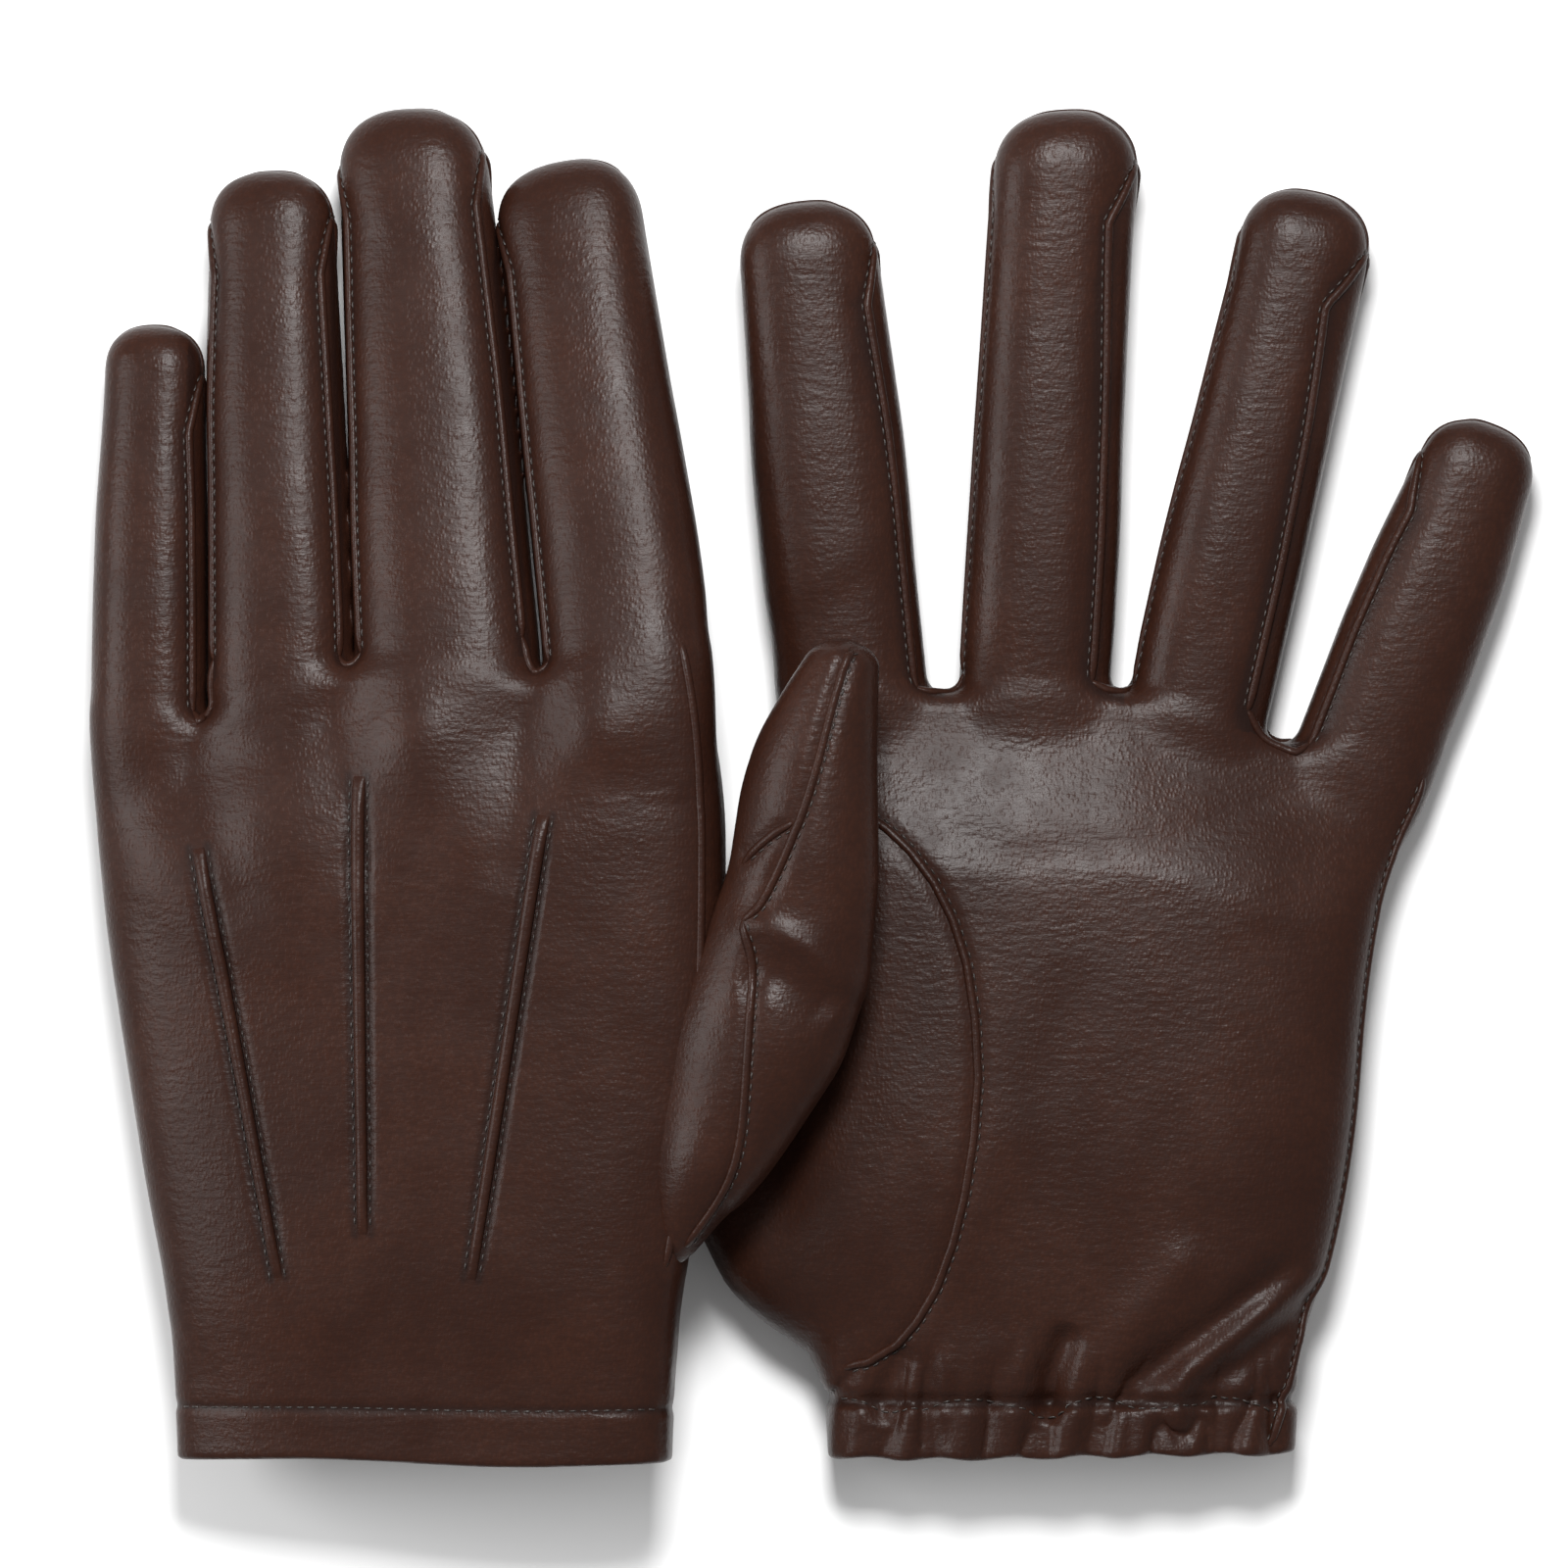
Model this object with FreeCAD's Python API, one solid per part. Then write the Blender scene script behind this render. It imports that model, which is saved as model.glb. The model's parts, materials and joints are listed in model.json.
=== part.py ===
"""Two leather dress gloves lying on a table: one palm up, and one palm down that leans on it.

Row frame: millimetres, +X along the table to the right, +Y towards the fingertips, +Z up.
Each glove is modelled in a frame of its own, palm towards +Z, thumb towards -X, fingers towards
+Y, with x = 0 in the middle of the cuff, y = 0 at the cuff's edge and z = 0 halfway through the
hand. Both are left-hand gloves. A digit has a frame with its origin on its hinge, +Y along it.
"""

import FreeCAD, Part

import math
import os

# Leather and cloth, in mm
LEATHER = 1.0
HEM_LAYER = 0.9
LINING = 0.6
LINING_GAP = 0.15
ELASTIC = (66.0, 7.5, 0.8)  # width across the wrist, length along the arm, thickness
ELASTIC_START = 2.0
HEM_POCKET = 1.1  # the room between the outer leather and the turned-in layer
HEM_DEPTH = 10.5
LINING_SPAN = (11.5, 126.0)

# The decorative tucks on the back of the hand, called points, and the sewing thread
POINT_WIDTH = 1.8
POINT_SUNK = 0.5
THREAD = (0.5, 0.35)  # width and thickness
THREAD_OFFSET = 1.9  # from the middle of a point to the row of stitches beside it

SIDE_SEAM = -2.0  # height of the line where the palm leather and the back leather meet

# Hinges
GAP = 0.45  # between a digit and the palm at the bend
SEAM_HEIGHT = 4.2  # of a fourchette's two seams above and below the middle of a finger
FOURCHETTE_POINT = 8.0  # length over which a fourchette narrows to its tip
FAR = 400.0

# How each digit bends: direction, height of the pivot over the digit's middle, range in degrees
FINGER_CURL = ("palm", 2.0, 60.0)
FINGER_LIFT = ("back", -3.0, 35.0)
THUMB_SWING = ("sideways", 0.0, 8.0)
THUMB_LIFT = ("back", -2.0, 35.0)

NECK = 26.0  # how far the hand's own neck for a finger reaches down from the hinge
NECK_INSET = (0.6, 0.8)  # how much slimmer, in width and in height, it is at its lower end
NOTCH_REACH = 30.0  # size of the wedge cut for a bend
NOTCH_BACK = 3.0  # how far that cut runs over the face of the hinge
FOURCHETTE_END = 12.0  # from a fourchette's point to the fingertip
TIP_WIDTHS = (0.86, 0.58)  # of the last two sections of a finger, as shares of the width before
TIP_FLAT = 2.2  # added to the height of the very tip

# Corner cut of the eight-sided cross-sections
BODY_CORNER = 8.0
FINGER_CORNER = 5.0
INSET_CORNER = 2 - math.sqrt(2)

TABLE_TILT = 9.0  # how far the palm-down glove leans on the other one
BACK_GLOVE_HEIGHT = 23.3  # of that glove's frame above the table
PALM_GLOVE_HEIGHT = 14.0

# A cross-section is (y, thumb side x, little finger side x, back z, palm z).
PALM_BODY = [
    (0, -42.3, 42.3, -13.4, 9.5),
    (11, -42.8, 43.0, -13.4, 9.5),
    (21, -42.6, 44.0, -14.0, 11.0),
    (36, -44.6, 48.4, -14.0, 12.0),
    (60, -48.8, 52.7, -14.0, 12.5),
    (85, -51.5, 55.0, -14.0, 12.5),
    (105, -53.0, 58.5, -14.0, 11.5),
    (125, -53.5, 67.0, -14.0, 10.0),
    (144, -53.0, 74.0, -14.0, 8.0),
]
BACK_BODY = [
    (0, -45.5, 45.5, -12.0, 11.5),
    (12, -46.0, 46.3, -12.0, 11.5),
    (30, -47.7, 47.0, -14.0, 13.0),
    (52, -51.7, 51.8, -14.0, 14.5),
    (73, -54.5, 55.3, -14.0, 15.0),
    (98, -55.6, 59.2, -14.0, 15.0),
    (128, -55.9, 61.4, -14.0, 13.5),
    (153, -52.6, 61.7, -11.5, 11.0),
]
# The line of the crotches between the digits, from the index finger's outer side
PALM_CROTCHES = [(-60, 141), (-23.6, 140.4), (10.6, 141.7), (38.5, 130.5), (62, 131), (80, 118)]
BACK_CROTCHES = [(-60, 152), (-22.0, 143.5), (11.9, 146.2), (40.5, 135.4), (68, 140)]
# The points, each from the knuckles to the wrist
POINTS = [((39.6, 112.5), (24.5, 33.7)), ((9.9, 125.5), (8.6, 41.8)), ((-24.7, 118.3), (-11.5, 33.7))]


def vector(x, y, z):
    return FreeCAD.Vector(x, y, z)


def corner_points(section, corner):
    """The eight corners of a cross-section."""
    y, x0, x1, z0, z1 = section
    c = min(corner, 0.4 * (x1 - x0), 0.4 * (z1 - z0))
    flat = [
        (x0 + c, z0), (x1 - c, z0), (x1, z0 + c), (x1, z1 - c),
        (x1 - c, z1), (x0 + c, z1), (x0, z1 - c), (x0, z0 + c),
    ]
    return [vector(x, y, z) for x, z in flat]


def flat_face(points):
    return Part.Face(Part.makePolygon(points + points[:1]))


def solid_of(faces):
    solid = Part.Solid(Part.Shell(faces))
    if solid.Volume < 0:
        solid.reverse()
    return solid


def hull(sections, corner):
    """A solid through cross-sections, with flat sides."""
    rings = [corner_points(s, corner) for s in sections]
    faces = [flat_face(rings[0]), flat_face(rings[-1])]
    for a, b in zip(rings, rings[1:]):
        for i in range(8):
            j = (i + 1) % 8
            faces.append(flat_face([a[i], a[j], b[j], b[i]]))
    return solid_of(faces)


def inset(sections, corner, depth, start=0.0, end=0.0):
    """The sections and corner of the same solid, depth further in all round. The first and last
    sections move outwards by start and inwards by end."""
    moved = [(y, x0 + depth, x1 - depth, z0 + depth, z1 - depth) for y, x0, x1, z0, z1 in sections]
    moved[0] = (moved[0][0] - start, *moved[0][1:])
    moved[-1] = (moved[-1][0] - end, *moved[-1][1:])
    return moved, corner - depth * INSET_CORNER


def prism_x(outline, x0=-FAR, x1=FAR):
    """An outline in the YZ plane, drawn out along X."""
    face = flat_face([vector(x0, y, z) for y, z in outline])
    return face.extrude(vector(x1 - x0, 0, 0))


def prism_y(outline, y0, y1):
    """An outline in the XZ plane, drawn out along Y."""
    face = flat_face([vector(x, y0, z) for x, z in outline])
    return face.extrude(vector(0, y1 - y0, 0))


def prism_z(outline, z0=-FAR, z1=FAR):
    """An outline in the XY plane, drawn out along Z."""
    face = flat_face([vector(x, y, z0) for x, y in outline])
    return face.extrude(vector(0, 0, z1 - z0))


def slab_y(y0, y1):
    return Part.makeBox(2 * FAR, y1 - y0, 2 * FAR, vector(-FAR, y0, -FAR))


def largest(shape, count=1):
    """The largest solids of a shape, without the slivers that a cut can leave."""
    solids = sorted(shape.Solids, key=lambda s: -s.Volume)[:count]
    return solids[0] if count == 1 else Part.makeCompound(solids)


class Digit:
    """A finger or thumb: where its hinge is in the glove's frame, which way it points, how it
    bends, and its cross-sections from the hinge to the tip."""

    def __init__(self, name, hinge, azimuth, pitch, sections, bend, sides, stub=None):
        self.name = name
        self.hinge = vector(*hinge)
        self.azimuth = azimuth
        self.pitch = pitch
        self.sections = sections
        self.bend = bend  # (direction, pivot height, range in degrees)
        self.sides = sides  # the sides that have a fourchette: -1 thumb side, 1 little finger side
        self.stub = stub or self.plain_stub()

    def plain_stub(self):
        _, x0, x1, z0, z1 = self.sections[0]
        dx, dz = NECK_INSET
        return [(-NECK, x0 + dx, x1 - dx, z0 + dz, z1 - dz), (0.0, x0, x1, z0, z1)]

    def placement(self):
        """From the digit's frame to the glove's."""
        turn = FreeCAD.Rotation(vector(0, 0, 1), -self.azimuth)
        lift = FreeCAD.Rotation(vector(1, 0, 0), self.pitch)
        return FreeCAD.Placement(self.hinge, turn.multiply(lift))

    def notch(self, side):
        """The room that the bend needs on the digit's side (1) or the palm's side (-1) of the
        hinge: a wedge on the side that it bends towards, and a narrow gap elsewhere."""
        direction, pivot, angle = self.bend
        slope = math.tan(math.radians(angle / 2))
        x0, x1 = self.sections[0][1] - 1.0, self.sections[0][2] + 1.0
        reach, back = NOTCH_REACH, side * NOTCH_BACK
        if direction == "sideways":
            outline = [
                (-reach, side * (GAP + reach * slope)), (0, side * GAP),
                (reach, side * (GAP + reach * slope)), (reach, -back), (-reach, -back),
            ]
            return prism_z(outline, -reach, reach)
        toward = 1 if direction == "palm" else -1
        outline = [
            (side * GAP, -toward * reach + pivot), (side * GAP, pivot),
            (side * (GAP + reach * slope), pivot + toward * reach),
            (-back, pivot + toward * reach), (-back, -toward * reach + pivot),
        ]
        return prism_x(outline, x0, x1)

    def outer(self):
        return hull(self.sections, FINGER_CORNER)

    def inner(self):
        return hull(*inset(self.sections, FINGER_CORNER, LEATHER, start=2.0, end=1.6))

    def stub_outer(self):
        return self.placed(hull(self.stub, FINGER_CORNER))

    def stub_inner(self):
        return self.placed(hull(*inset(self.stub, FINGER_CORNER, LEATHER, end=-2.0)))

    def placed(self, shape):
        moved = shape.copy()
        moved.Placement = self.placement().multiply(moved.Placement)
        return moved

    def panel_cutters(self):
        """The regions of the palm-side panel and of the back panel, and of each fourchette. On a
        side with no fourchette the leather is folded round, so its two panels meet halfway."""
        end = self.sections[-1][0] - FOURCHETTE_END
        middle = (self.sections[0][3] + self.sections[0][4]) / 2
        up = {}
        for face in (1, -1):
            halves = []
            for side in (-1, 1):
                x0, x1 = (-FAR, 0.0) if side < 0 else (0.0, FAR)
                seam = face * SEAM_HEIGHT if side in self.sides else 0.0
                outline = [
                    (-FAR, middle + seam), (end - FOURCHETTE_POINT, middle + seam), (end, middle),
                    (FAR, middle), (FAR, face * FAR), (-FAR, face * FAR),
                ]
                if not seam:
                    outline = [(-FAR, middle), (FAR, middle), (FAR, face * FAR), (-FAR, face * FAR)]
                halves.append(prism_x(outline, x0, x1))
            up[face] = halves[0].fuse(halves[1]).removeSplitter()
        strip = [
            (-FAR, middle + SEAM_HEIGHT), (end - FOURCHETTE_POINT, middle + SEAM_HEIGHT), (end, middle),
            (end - FOURCHETTE_POINT, middle - SEAM_HEIGHT), (-FAR, middle - SEAM_HEIGHT),
        ]
        strips = {s: prism_x(strip, -FAR if s < 0 else 0.0, 0.0 if s < 0 else FAR) for s in self.sides}
        return up[1], up[-1], strips

    def pieces(self):
        """{name: solid} of the digit's leather, in the glove's frame."""
        shell = self.outer().cut(self.inner()).cut(self.notch(1))
        palm_side, back_side, strips = self.panel_cutters()
        made = {
            f"{self.name}_palm_side": shell.common(palm_side),
            f"{self.name}_back_side": shell.common(back_side),
        }
        words = {-1: "thumb_side", 1: "little_side"}
        for side, strip in strips.items():
            made[f"{self.name}_fourchette_{words[side]}"] = shell.common(strip)
        return {name: self.placed(largest(shape)) for name, shape in made.items()}


def finger(name, hinge, azimuth, pitch, length, widths, heights, bend, sides):
    """A finger that is widths and heights thick at its hinge, at its middle and before its tip."""
    shares = (0.0, 0.45, 0.84, 0.95, 1.0)
    near_tip, at_tip = TIP_WIDTHS
    wide = [*widths, widths[-1] * near_tip, widths[-1] * at_tip]
    high = [*heights, heights[-1] * near_tip, heights[-1] * at_tip + TIP_FLAT]
    sections = [(s * length, -w / 2, w / 2, -h / 2, h / 2) for s, w, h in zip(shares, wide, high)]
    return Digit(name, hinge, azimuth, pitch, sections, bend, sides)


# Each finger: hinge, azimuth, pitch, length, widths, heights, bend, sides that have a fourchette
PALM_DIGITS = [
    finger(
        "index", (-40.1, 153, -3.4), -5.7, 2.0,
        78.4, (28.0, 28.0, 25.5), (20, 18.5, 16.5), FINGER_CURL, (1,),
    ),
    finger(
        "middle", (-4.5, 154, -3.4), 3.4, 2.0,
        93.8, (28.0, 27.0, 26.5), (20, 19, 17), FINGER_CURL, (-1, 1),
    ),
    finger(
        "ring", (28.5, 153, -3.6), 12.8, 2.0,
        81.7, (26.4, 25.4, 24.0), (19.5, 18.5, 16.5), FINGER_CURL, (-1, 1),
    ),
    finger(
        "little", (61, 142, -4.4), 21.0, 2.0,
        51.0, (26.6, 25.0, 21.5), (18, 17, 15), FINGER_CURL, (-1,),
    ),
    Digit(
        "thumb", (-65.5, 70.2, -6.6), -27.7, 0.0,
        [
            (0, -12.5, 12.0, -6.8, 7.0), (20, -12.0, 11.5, -6.8, 5.2),
            (38, -9.5, 9.0, -6.6, 4.0), (46, -6.2, 6.0, -6.0, 4.0),
        ],
        THUMB_SWING, (),
        [
            (-59.0, -6.0, 1.0, -6.2, 9.0), (-53.0, -9.6, 4.0, -6.8, 13.0),
            (-43.4, -12.1, 8.0, -6.8, 13.6), (-33.5, -15.0, 14.0, -6.8, 13.0),
            (-15.0, -14.0, 16.0, -6.8, 10.5), (0.0, -12.5, 12.0, -6.8, 7.0),
        ],
    ),
]
BACK_DIGITS = [
    finger(
        "index", (-37.5, 155, 0.0), 9.4, 8.5,
        85.5, (30.2, 28.2, 26.6), (20, 19, 17), FINGER_LIFT, (1,),
    ),
    finger(
        "middle", (-3.9, 157, 0.0), 5.4, 7.0,
        92.2, (32.2, 30.4, 27.4), (20, 19.5, 17.5), FINGER_LIFT, (-1, 1),
    ),
    finger(
        "ring", (26.9, 157, 0.0), 1.8, 4.5,
        80.2, (25.4, 24.8, 22.2), (19.5, 18.5, 16.5), FINGER_LIFT, (-1, 1),
    ),
    finger(
        "little", (51.5, 147, 0.0), -0.4, 3.0,
        61.3, (20.6, 20.0, 17.4), (18, 17, 15), FINGER_LIFT, (-1,),
    ),
    Digit(
        "thumb", (-72.4, 96.7, -4.0), -8.3, 0.0,
        [
            (0, -12.5, 16.3, -9.0, 9.3), (14, -10.5, 16.5, -9.0, 9.0),
            (26, -8.6, 16.5, -8.8, 8.6), (36, -7.0, 14.5, -8.4, 8.0),
            (46, -5.8, 9.8, -7.4, 7.0), (54, -5.2, 6.0, -6.2, 6.0),
        ],
        THUMB_LIFT, (),
        [
            (-63.7, 11.0, 22.5, -7.0, 7.5), (-57.5, 8.0, 24.0, -8.0, 8.6),
            (-47.7, 3.0, 24.0, -9.0, 9.3), (-36.0, -2.8, 24.0, -9.0, 9.3),
            (-26.0, -8.3, 24.0, -9.0, 9.3), (-10.0, -12.2, 22.5, -9.0, 9.3),
            (0.0, -12.5, 16.3, -9.0, 9.3),
        ],
    ),
]


class Glove:
    """One glove: its body's cross-sections, its crotch line and its digits. proud is how far the
    points and the thread stand out of the leather; where it lies on the table they are pressed in."""

    def __init__(self, name, body, crotches, digits, proud, placement):
        self.name = name
        self.body = body
        self.crotches = crotches
        self.digits = digits
        self.proud = proud
        self.placement = placement
        self.fingers = [d for d in digits if d.name != "thumb"]
        self.thumb = next(d for d in digits if d.name == "thumb")

    def below_crotches(self, short=0.0):
        """Everything on the wrist's side of the crotch line, short of it by that much."""
        line = [(x, y - short) for x, y in self.crotches]
        return prism_z([(-FAR, line[0][1]), *line, (FAR, line[-1][1]), (FAR, -FAR), (-FAR, -FAR)])

    def body_solid(self, depth=0.0, start=0.0):
        return hull(*inset(self.body, BODY_CORNER, depth, start=start)).common(self.below_crotches(depth))

    def shell(self):
        """The leather of the hand, open at the cuff, at each finger and at the thumb."""
        outer, inner = self.body_solid(), self.body_solid(LEATHER, start=5.0)
        for digit in self.fingers:
            outer = outer.fuse(digit.stub_outer())
            inner = inner.fuse(digit.stub_inner())
        made = outer.cut(inner).cut(self.thumb.stub_inner())
        for digit in self.fingers:
            made = made.cut(digit.placed(digit.notch(-1)))
        return made

    def halves(self):
        """The palm sheet and the back sheet, which meet along the middle of the hand's edges."""
        shell = self.shell()
        middle = SIDE_SEAM
        upper = Part.makeBox(2 * FAR, 2 * FAR, FAR, vector(-FAR, -FAR, middle))
        lower = Part.makeBox(2 * FAR, 2 * FAR, FAR, vector(-FAR, -FAR, middle - FAR))
        return largest(shell.common(upper)), largest(shell.common(lower))

    def thumb_base(self):
        """The set-in thumb's leather from its seam on the palm to the thumb's hinge."""
        thumb = self.thumb
        ball = thumb.stub_outer().cut(thumb.stub_inner()).cut(self.body_solid())
        return largest(ball.cut(thumb.placed(thumb.notch(-1))))

    def ring(self, depth, thickness, y0, y1):
        """A band round the inside of the hand."""
        band = self.body_solid(depth, start=5.0).cut(self.body_solid(depth + thickness, start=6.0))
        return band.common(slab_y(y0, y1))

    def hem(self):
        """The leather turned in round the cuff, with the pocket that the elastic runs in."""
        layer = self.ring(LEATHER + HEM_POCKET, HEM_LAYER, 0.0, HEM_DEPTH)
        turn = self.ring(LEATHER, HEM_POCKET, 0.0, HEM_LAYER)
        return largest(layer.fuse(turn))

    def lining(self):
        """The lining of the hand, open at the cuff, at the thumb and at the fingers."""
        sleeve = self.ring(LEATHER + LINING_GAP, LINING, *LINING_SPAN)
        return largest(sleeve.cut(self.thumb.stub_outer()))

    def elastic(self):
        width, along, thick = ELASTIC
        top = self.body[0][4] - LEATHER - (HEM_POCKET - thick) / 2
        return Part.makeBox(width, along, thick, vector(-width / 2, ELASTIC_START, top - thick))

    def bar(self, a, b, offset, width, z0, z1):
        """A straight strip from a to b on the back of the hand, offset sideways."""
        along = vector(b[0] - a[0], b[1] - a[1], 0)
        along.normalize()
        across = vector(-along.y, along.x, 0)
        corners = []
        for end, side in ((a, 1), (b, 1), (b, -1), (a, -1)):
            spot = vector(end[0], end[1], 0) + across * (offset + side * width / 2)
            corners.append((spot.x, spot.y))
        return prism_z(corners, z0, z1)

    def points(self):
        """The three raised tucks on the back of the hand."""
        level = self.body[3][3]
        z0, z1 = level - self.proud, level + POINT_SUNK
        return Part.makeCompound([self.bar(a, b, 0.0, POINT_WIDTH, z0, z1) for a, b in POINTS])

    def point_thread(self):
        """A row of stitches on each side of each tuck."""
        width, thick = THREAD
        level = self.body[3][3]
        z0 = level - min(self.proud, 0.15)
        rows = [
            self.bar(a, b, side * THREAD_OFFSET, width, z0, z0 + thick)
            for a, b in POINTS
            for side in (-1, 1)
        ]
        return Part.makeCompound(rows)

    def hem_thread(self):
        """The hem's row of stitches, on the palm side and on the back."""
        width, thick = THREAD
        y = HEM_DEPTH - 1.0
        _, x0, x1, z0, z1 = self.body[0]
        length = x1 - x0 - 2 * BODY_CORNER
        rows = [
            Part.makeBox(length, width, thick, vector(x0 + BODY_CORNER, y, z))
            for z in (z1, z0 - thick)
        ]
        return Part.makeCompound(rows)

    def pieces(self):
        """{node name: shape} of the whole glove, in the row frame."""
        palm, back = self.halves()
        points, thread = self.points(), self.point_thread()
        made = {
            "palm_leather": palm,
            "back_leather": largest(back.cut(points).cut(thread)),
            "thumb_base": self.thumb_base(),
            "cuff_hem": self.hem(),
            "wrist_elastic": self.elastic(),
            "lining": self.lining(),
            "points": points,
            "point_thread": thread,
            "hem_thread": self.hem_thread(),
        }
        for digit in self.digits:
            made.update(digit.pieces())
        placed = {}
        for name, shape in made.items():
            moved = shape.copy()
            moved.Placement = self.placement.multiply(moved.Placement)
            placed[f"{self.name}_{name}"] = moved
        return placed


def palm_up(x, y, z):
    return FreeCAD.Placement(vector(x, y, z), FreeCAD.Rotation())


def palm_down(x, y, z, tilt):
    """Turned over about Y, with the thumb's side raised."""
    return FreeCAD.Placement(vector(x, y, z), FreeCAD.Rotation(vector(0, 1, 0), 180.0 - tilt))


# Where the two gloves lie, so that the row frame's origin is under the middle of the pair
PALM_GLOVE = Glove(
    "palm_glove", PALM_BODY, PALM_CROTCHES, PALM_DIGITS, 0.0, palm_up(45.6, -123.6, PALM_GLOVE_HEIGHT)
)
BACK_GLOVE = Glove(
    "back_glove", BACK_BODY, BACK_CROTCHES, BACK_DIGITS, 0.6,
    palm_down(-71.9, -123.9, BACK_GLOVE_HEIGHT, TABLE_TILT),
)
GLOVES = (PALM_GLOVE, BACK_GLOVE)


def main():
    os.makedirs("parts", exist_ok=True)
    for glove in GLOVES:
        for name, shape in glove.pieces().items():
            box = shape.BoundBox
            print(
                f"{name:44s} solids {len(shape.Solids):2d} valid {shape.isValid()} "
                f"volume {shape.Volume:9.1f} x {box.XMin:7.1f} {box.XMax:7.1f} "
                f"y {box.YMin:7.1f} {box.YMax:7.1f} z {box.ZMin:6.2f} {box.ZMax:6.2f}"
            )
            shape.exportStep(f"parts/{name}.step")


main()
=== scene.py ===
"""The looks of the pair of leather dress gloves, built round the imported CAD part.

Each glove's skin is one smooth field, measured from the CAD pieces, that is turned into a mesh and
cut into its leather pieces. A glove's own frame has its origin in the middle of the cuff's edge,
+X from thumb to little finger, +Y to the fingertips and +Z out of the palm. Lengths inside the
functions are in millimetres; a mesh is turned into metres in the row frame as it is made.
"""

import json
import math

import bpy
import numpy as np
import openvdb
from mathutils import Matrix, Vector


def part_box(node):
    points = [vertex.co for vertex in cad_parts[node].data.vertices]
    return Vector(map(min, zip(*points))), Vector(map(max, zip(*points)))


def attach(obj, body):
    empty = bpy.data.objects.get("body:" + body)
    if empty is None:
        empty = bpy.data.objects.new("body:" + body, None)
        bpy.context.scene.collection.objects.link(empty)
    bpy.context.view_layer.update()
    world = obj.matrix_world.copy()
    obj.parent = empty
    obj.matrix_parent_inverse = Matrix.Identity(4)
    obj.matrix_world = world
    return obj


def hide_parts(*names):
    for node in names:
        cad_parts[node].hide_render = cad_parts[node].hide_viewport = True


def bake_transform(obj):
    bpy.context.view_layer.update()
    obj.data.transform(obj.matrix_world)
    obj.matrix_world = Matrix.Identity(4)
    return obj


MM = 0.001
VOXEL = 0.5  # mm between the samples of a glove's field
MARGIN = 6.0  # mm of empty samples round a glove
BAND = 3.0  # mm either side of the surface in which the field is worked out in detail

BODY_ROUND = 3.2  # exponent of the hand's cross-section: 2 is an ellipse, more is boxier
DIGIT_ROUND = 2.5
TIP_LENGTH = 0.98  # length of a digit's rounded tip over its half-width
ROOT = -8.0  # where, from its hinge, a digit's first width is set
STUB = 34.0  # how far a finger's shape runs on into the hand
STUB_SINK = 6.0  # how deep it has sunk under the hand's skin by then
KNUCKLES = 34.0  # length over which the hand thins down to the fingers
UNDER = (1.8, 0.9)  # how far, in width and in height, the hand then lies under the fingers' skin
THUMB_ENDS = (4.5, 22.0)  # length of the thumb's rounded tip, and of its rounded lower end
CROTCH_BLEND = 4.0
HAND_BLEND = 3.5
HAND_SMOOTH = 6.5  # mm over which the hand's outline is rounded
THUMB_BLEND = 10.0
FINGER_GAP = 0.7  # between the back glove's fingers
SWELL = 0.1  # how much wider than the CAD's flat-sided fingers the round ones are

WALL = 1.1  # leather thickness
UNEVEN = (0.22, 46.0)  # height and wavelength of the leather's soft unevenness
PUFFS = 11.0  # wavelength of the gathers at an elastic
HEM_WALL = 2.6
HEM = 10.5  # depth of the hem
HEM_STEP = 0.15  # how much the folded hem stands out
HEM_ROW = 9.9  # height of the hem's stitches over the cuff's edge
HEM_SIDE = 0.97  # how far to each side they go, as a share of the half-width
HEM_WANDER = ((0.2, 4.0), (0.8, 11.0))  # height and phase at the side, on a plain and a gathered hem
HEM_VALLEY = (0.4, 0.9)  # depth and half-width of the dip they pull the leather into
GATHER_REACH = 13.0  # how far over the hem's stitches the elastic gathers the leather
FOLD_FADE = 5.0  # height over the hand's middle at which a fold has its full depth
EDGE_ROUND = 1.1
EDGE_SEAM = 0.55  # height of the seam on the forefinger's edge, as a share of the half-height

SEAM_HEIGHT = 5.4  # of a fourchette's two seams above and below its middle
SEAM_HIGHEST = 0.74  # and no more than this share of the finger's half-height
SEAM_VALLEY = (0.35, 1.9)  # depth and half-width of the dip that a seam pulls the leather into
SEAM_FADE = 6.0  # length, below a finger's bend, over which that dip begins
LIP = (1.7, 0.75)  # width and height of a seam's raised lip
TIP_LIP = (1.1, 0.35)
STITCH_BESIDE = 1.15  # from a lip's middle to its stitches
FAR = 9.0  # distance given to leather that is far from any seam
TIP_SEAM = 9.0  # length of the seam over a fingertip
FOURCHETTE_POINT = 11.0  # length over which a fourchette narrows to its point
STITCH_PITCH = 2.1
STITCH_LENGTH = 1.5
THREAD = 0.19  # radius
LIP_SINK = 0.35  # how deep a lip's edges are under the leather's face
PATH_PITCH = 0.8  # mm between the points of a seam's path
BAR_ROUNDS = 12  # more than the edges between the two furthest points of a CAD bar
BAR_END = 0.6  # mm from a bar's end in which its points are taken to be at that end

ELASTIC_DEPTH = 0.95  # how far under the leather's face the elastic lies
ELASTIC_THICK = 0.7
SIDE_SEAM = 3.0  # height of the hand's side seam over its middle
WRIST = 32.0  # below this the side seam turns up to the palm
POINT_WIDTHS = (2.7, 2.1)  # of a raised point, at its two ends
POINT_HEIGHT = 1.25
HIDDEN_POINT_HEIGHT = 0.3  # where the glove lies on its points
POINT_ROW = 0.4  # from a point's edge to its row of stitches
ROW_VALLEY = (0.85, -0.5)  # half-width and height of the dip along a point's row of stitches
THUMB_VALLEY = (1.7, -0.55)  # and along a thumb's seam
GRAIN_SHIFT = {"palm_glove": (0.0, 0.0, 0.0), "back_glove": (400.0, 90.0, 50.0)}

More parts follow.
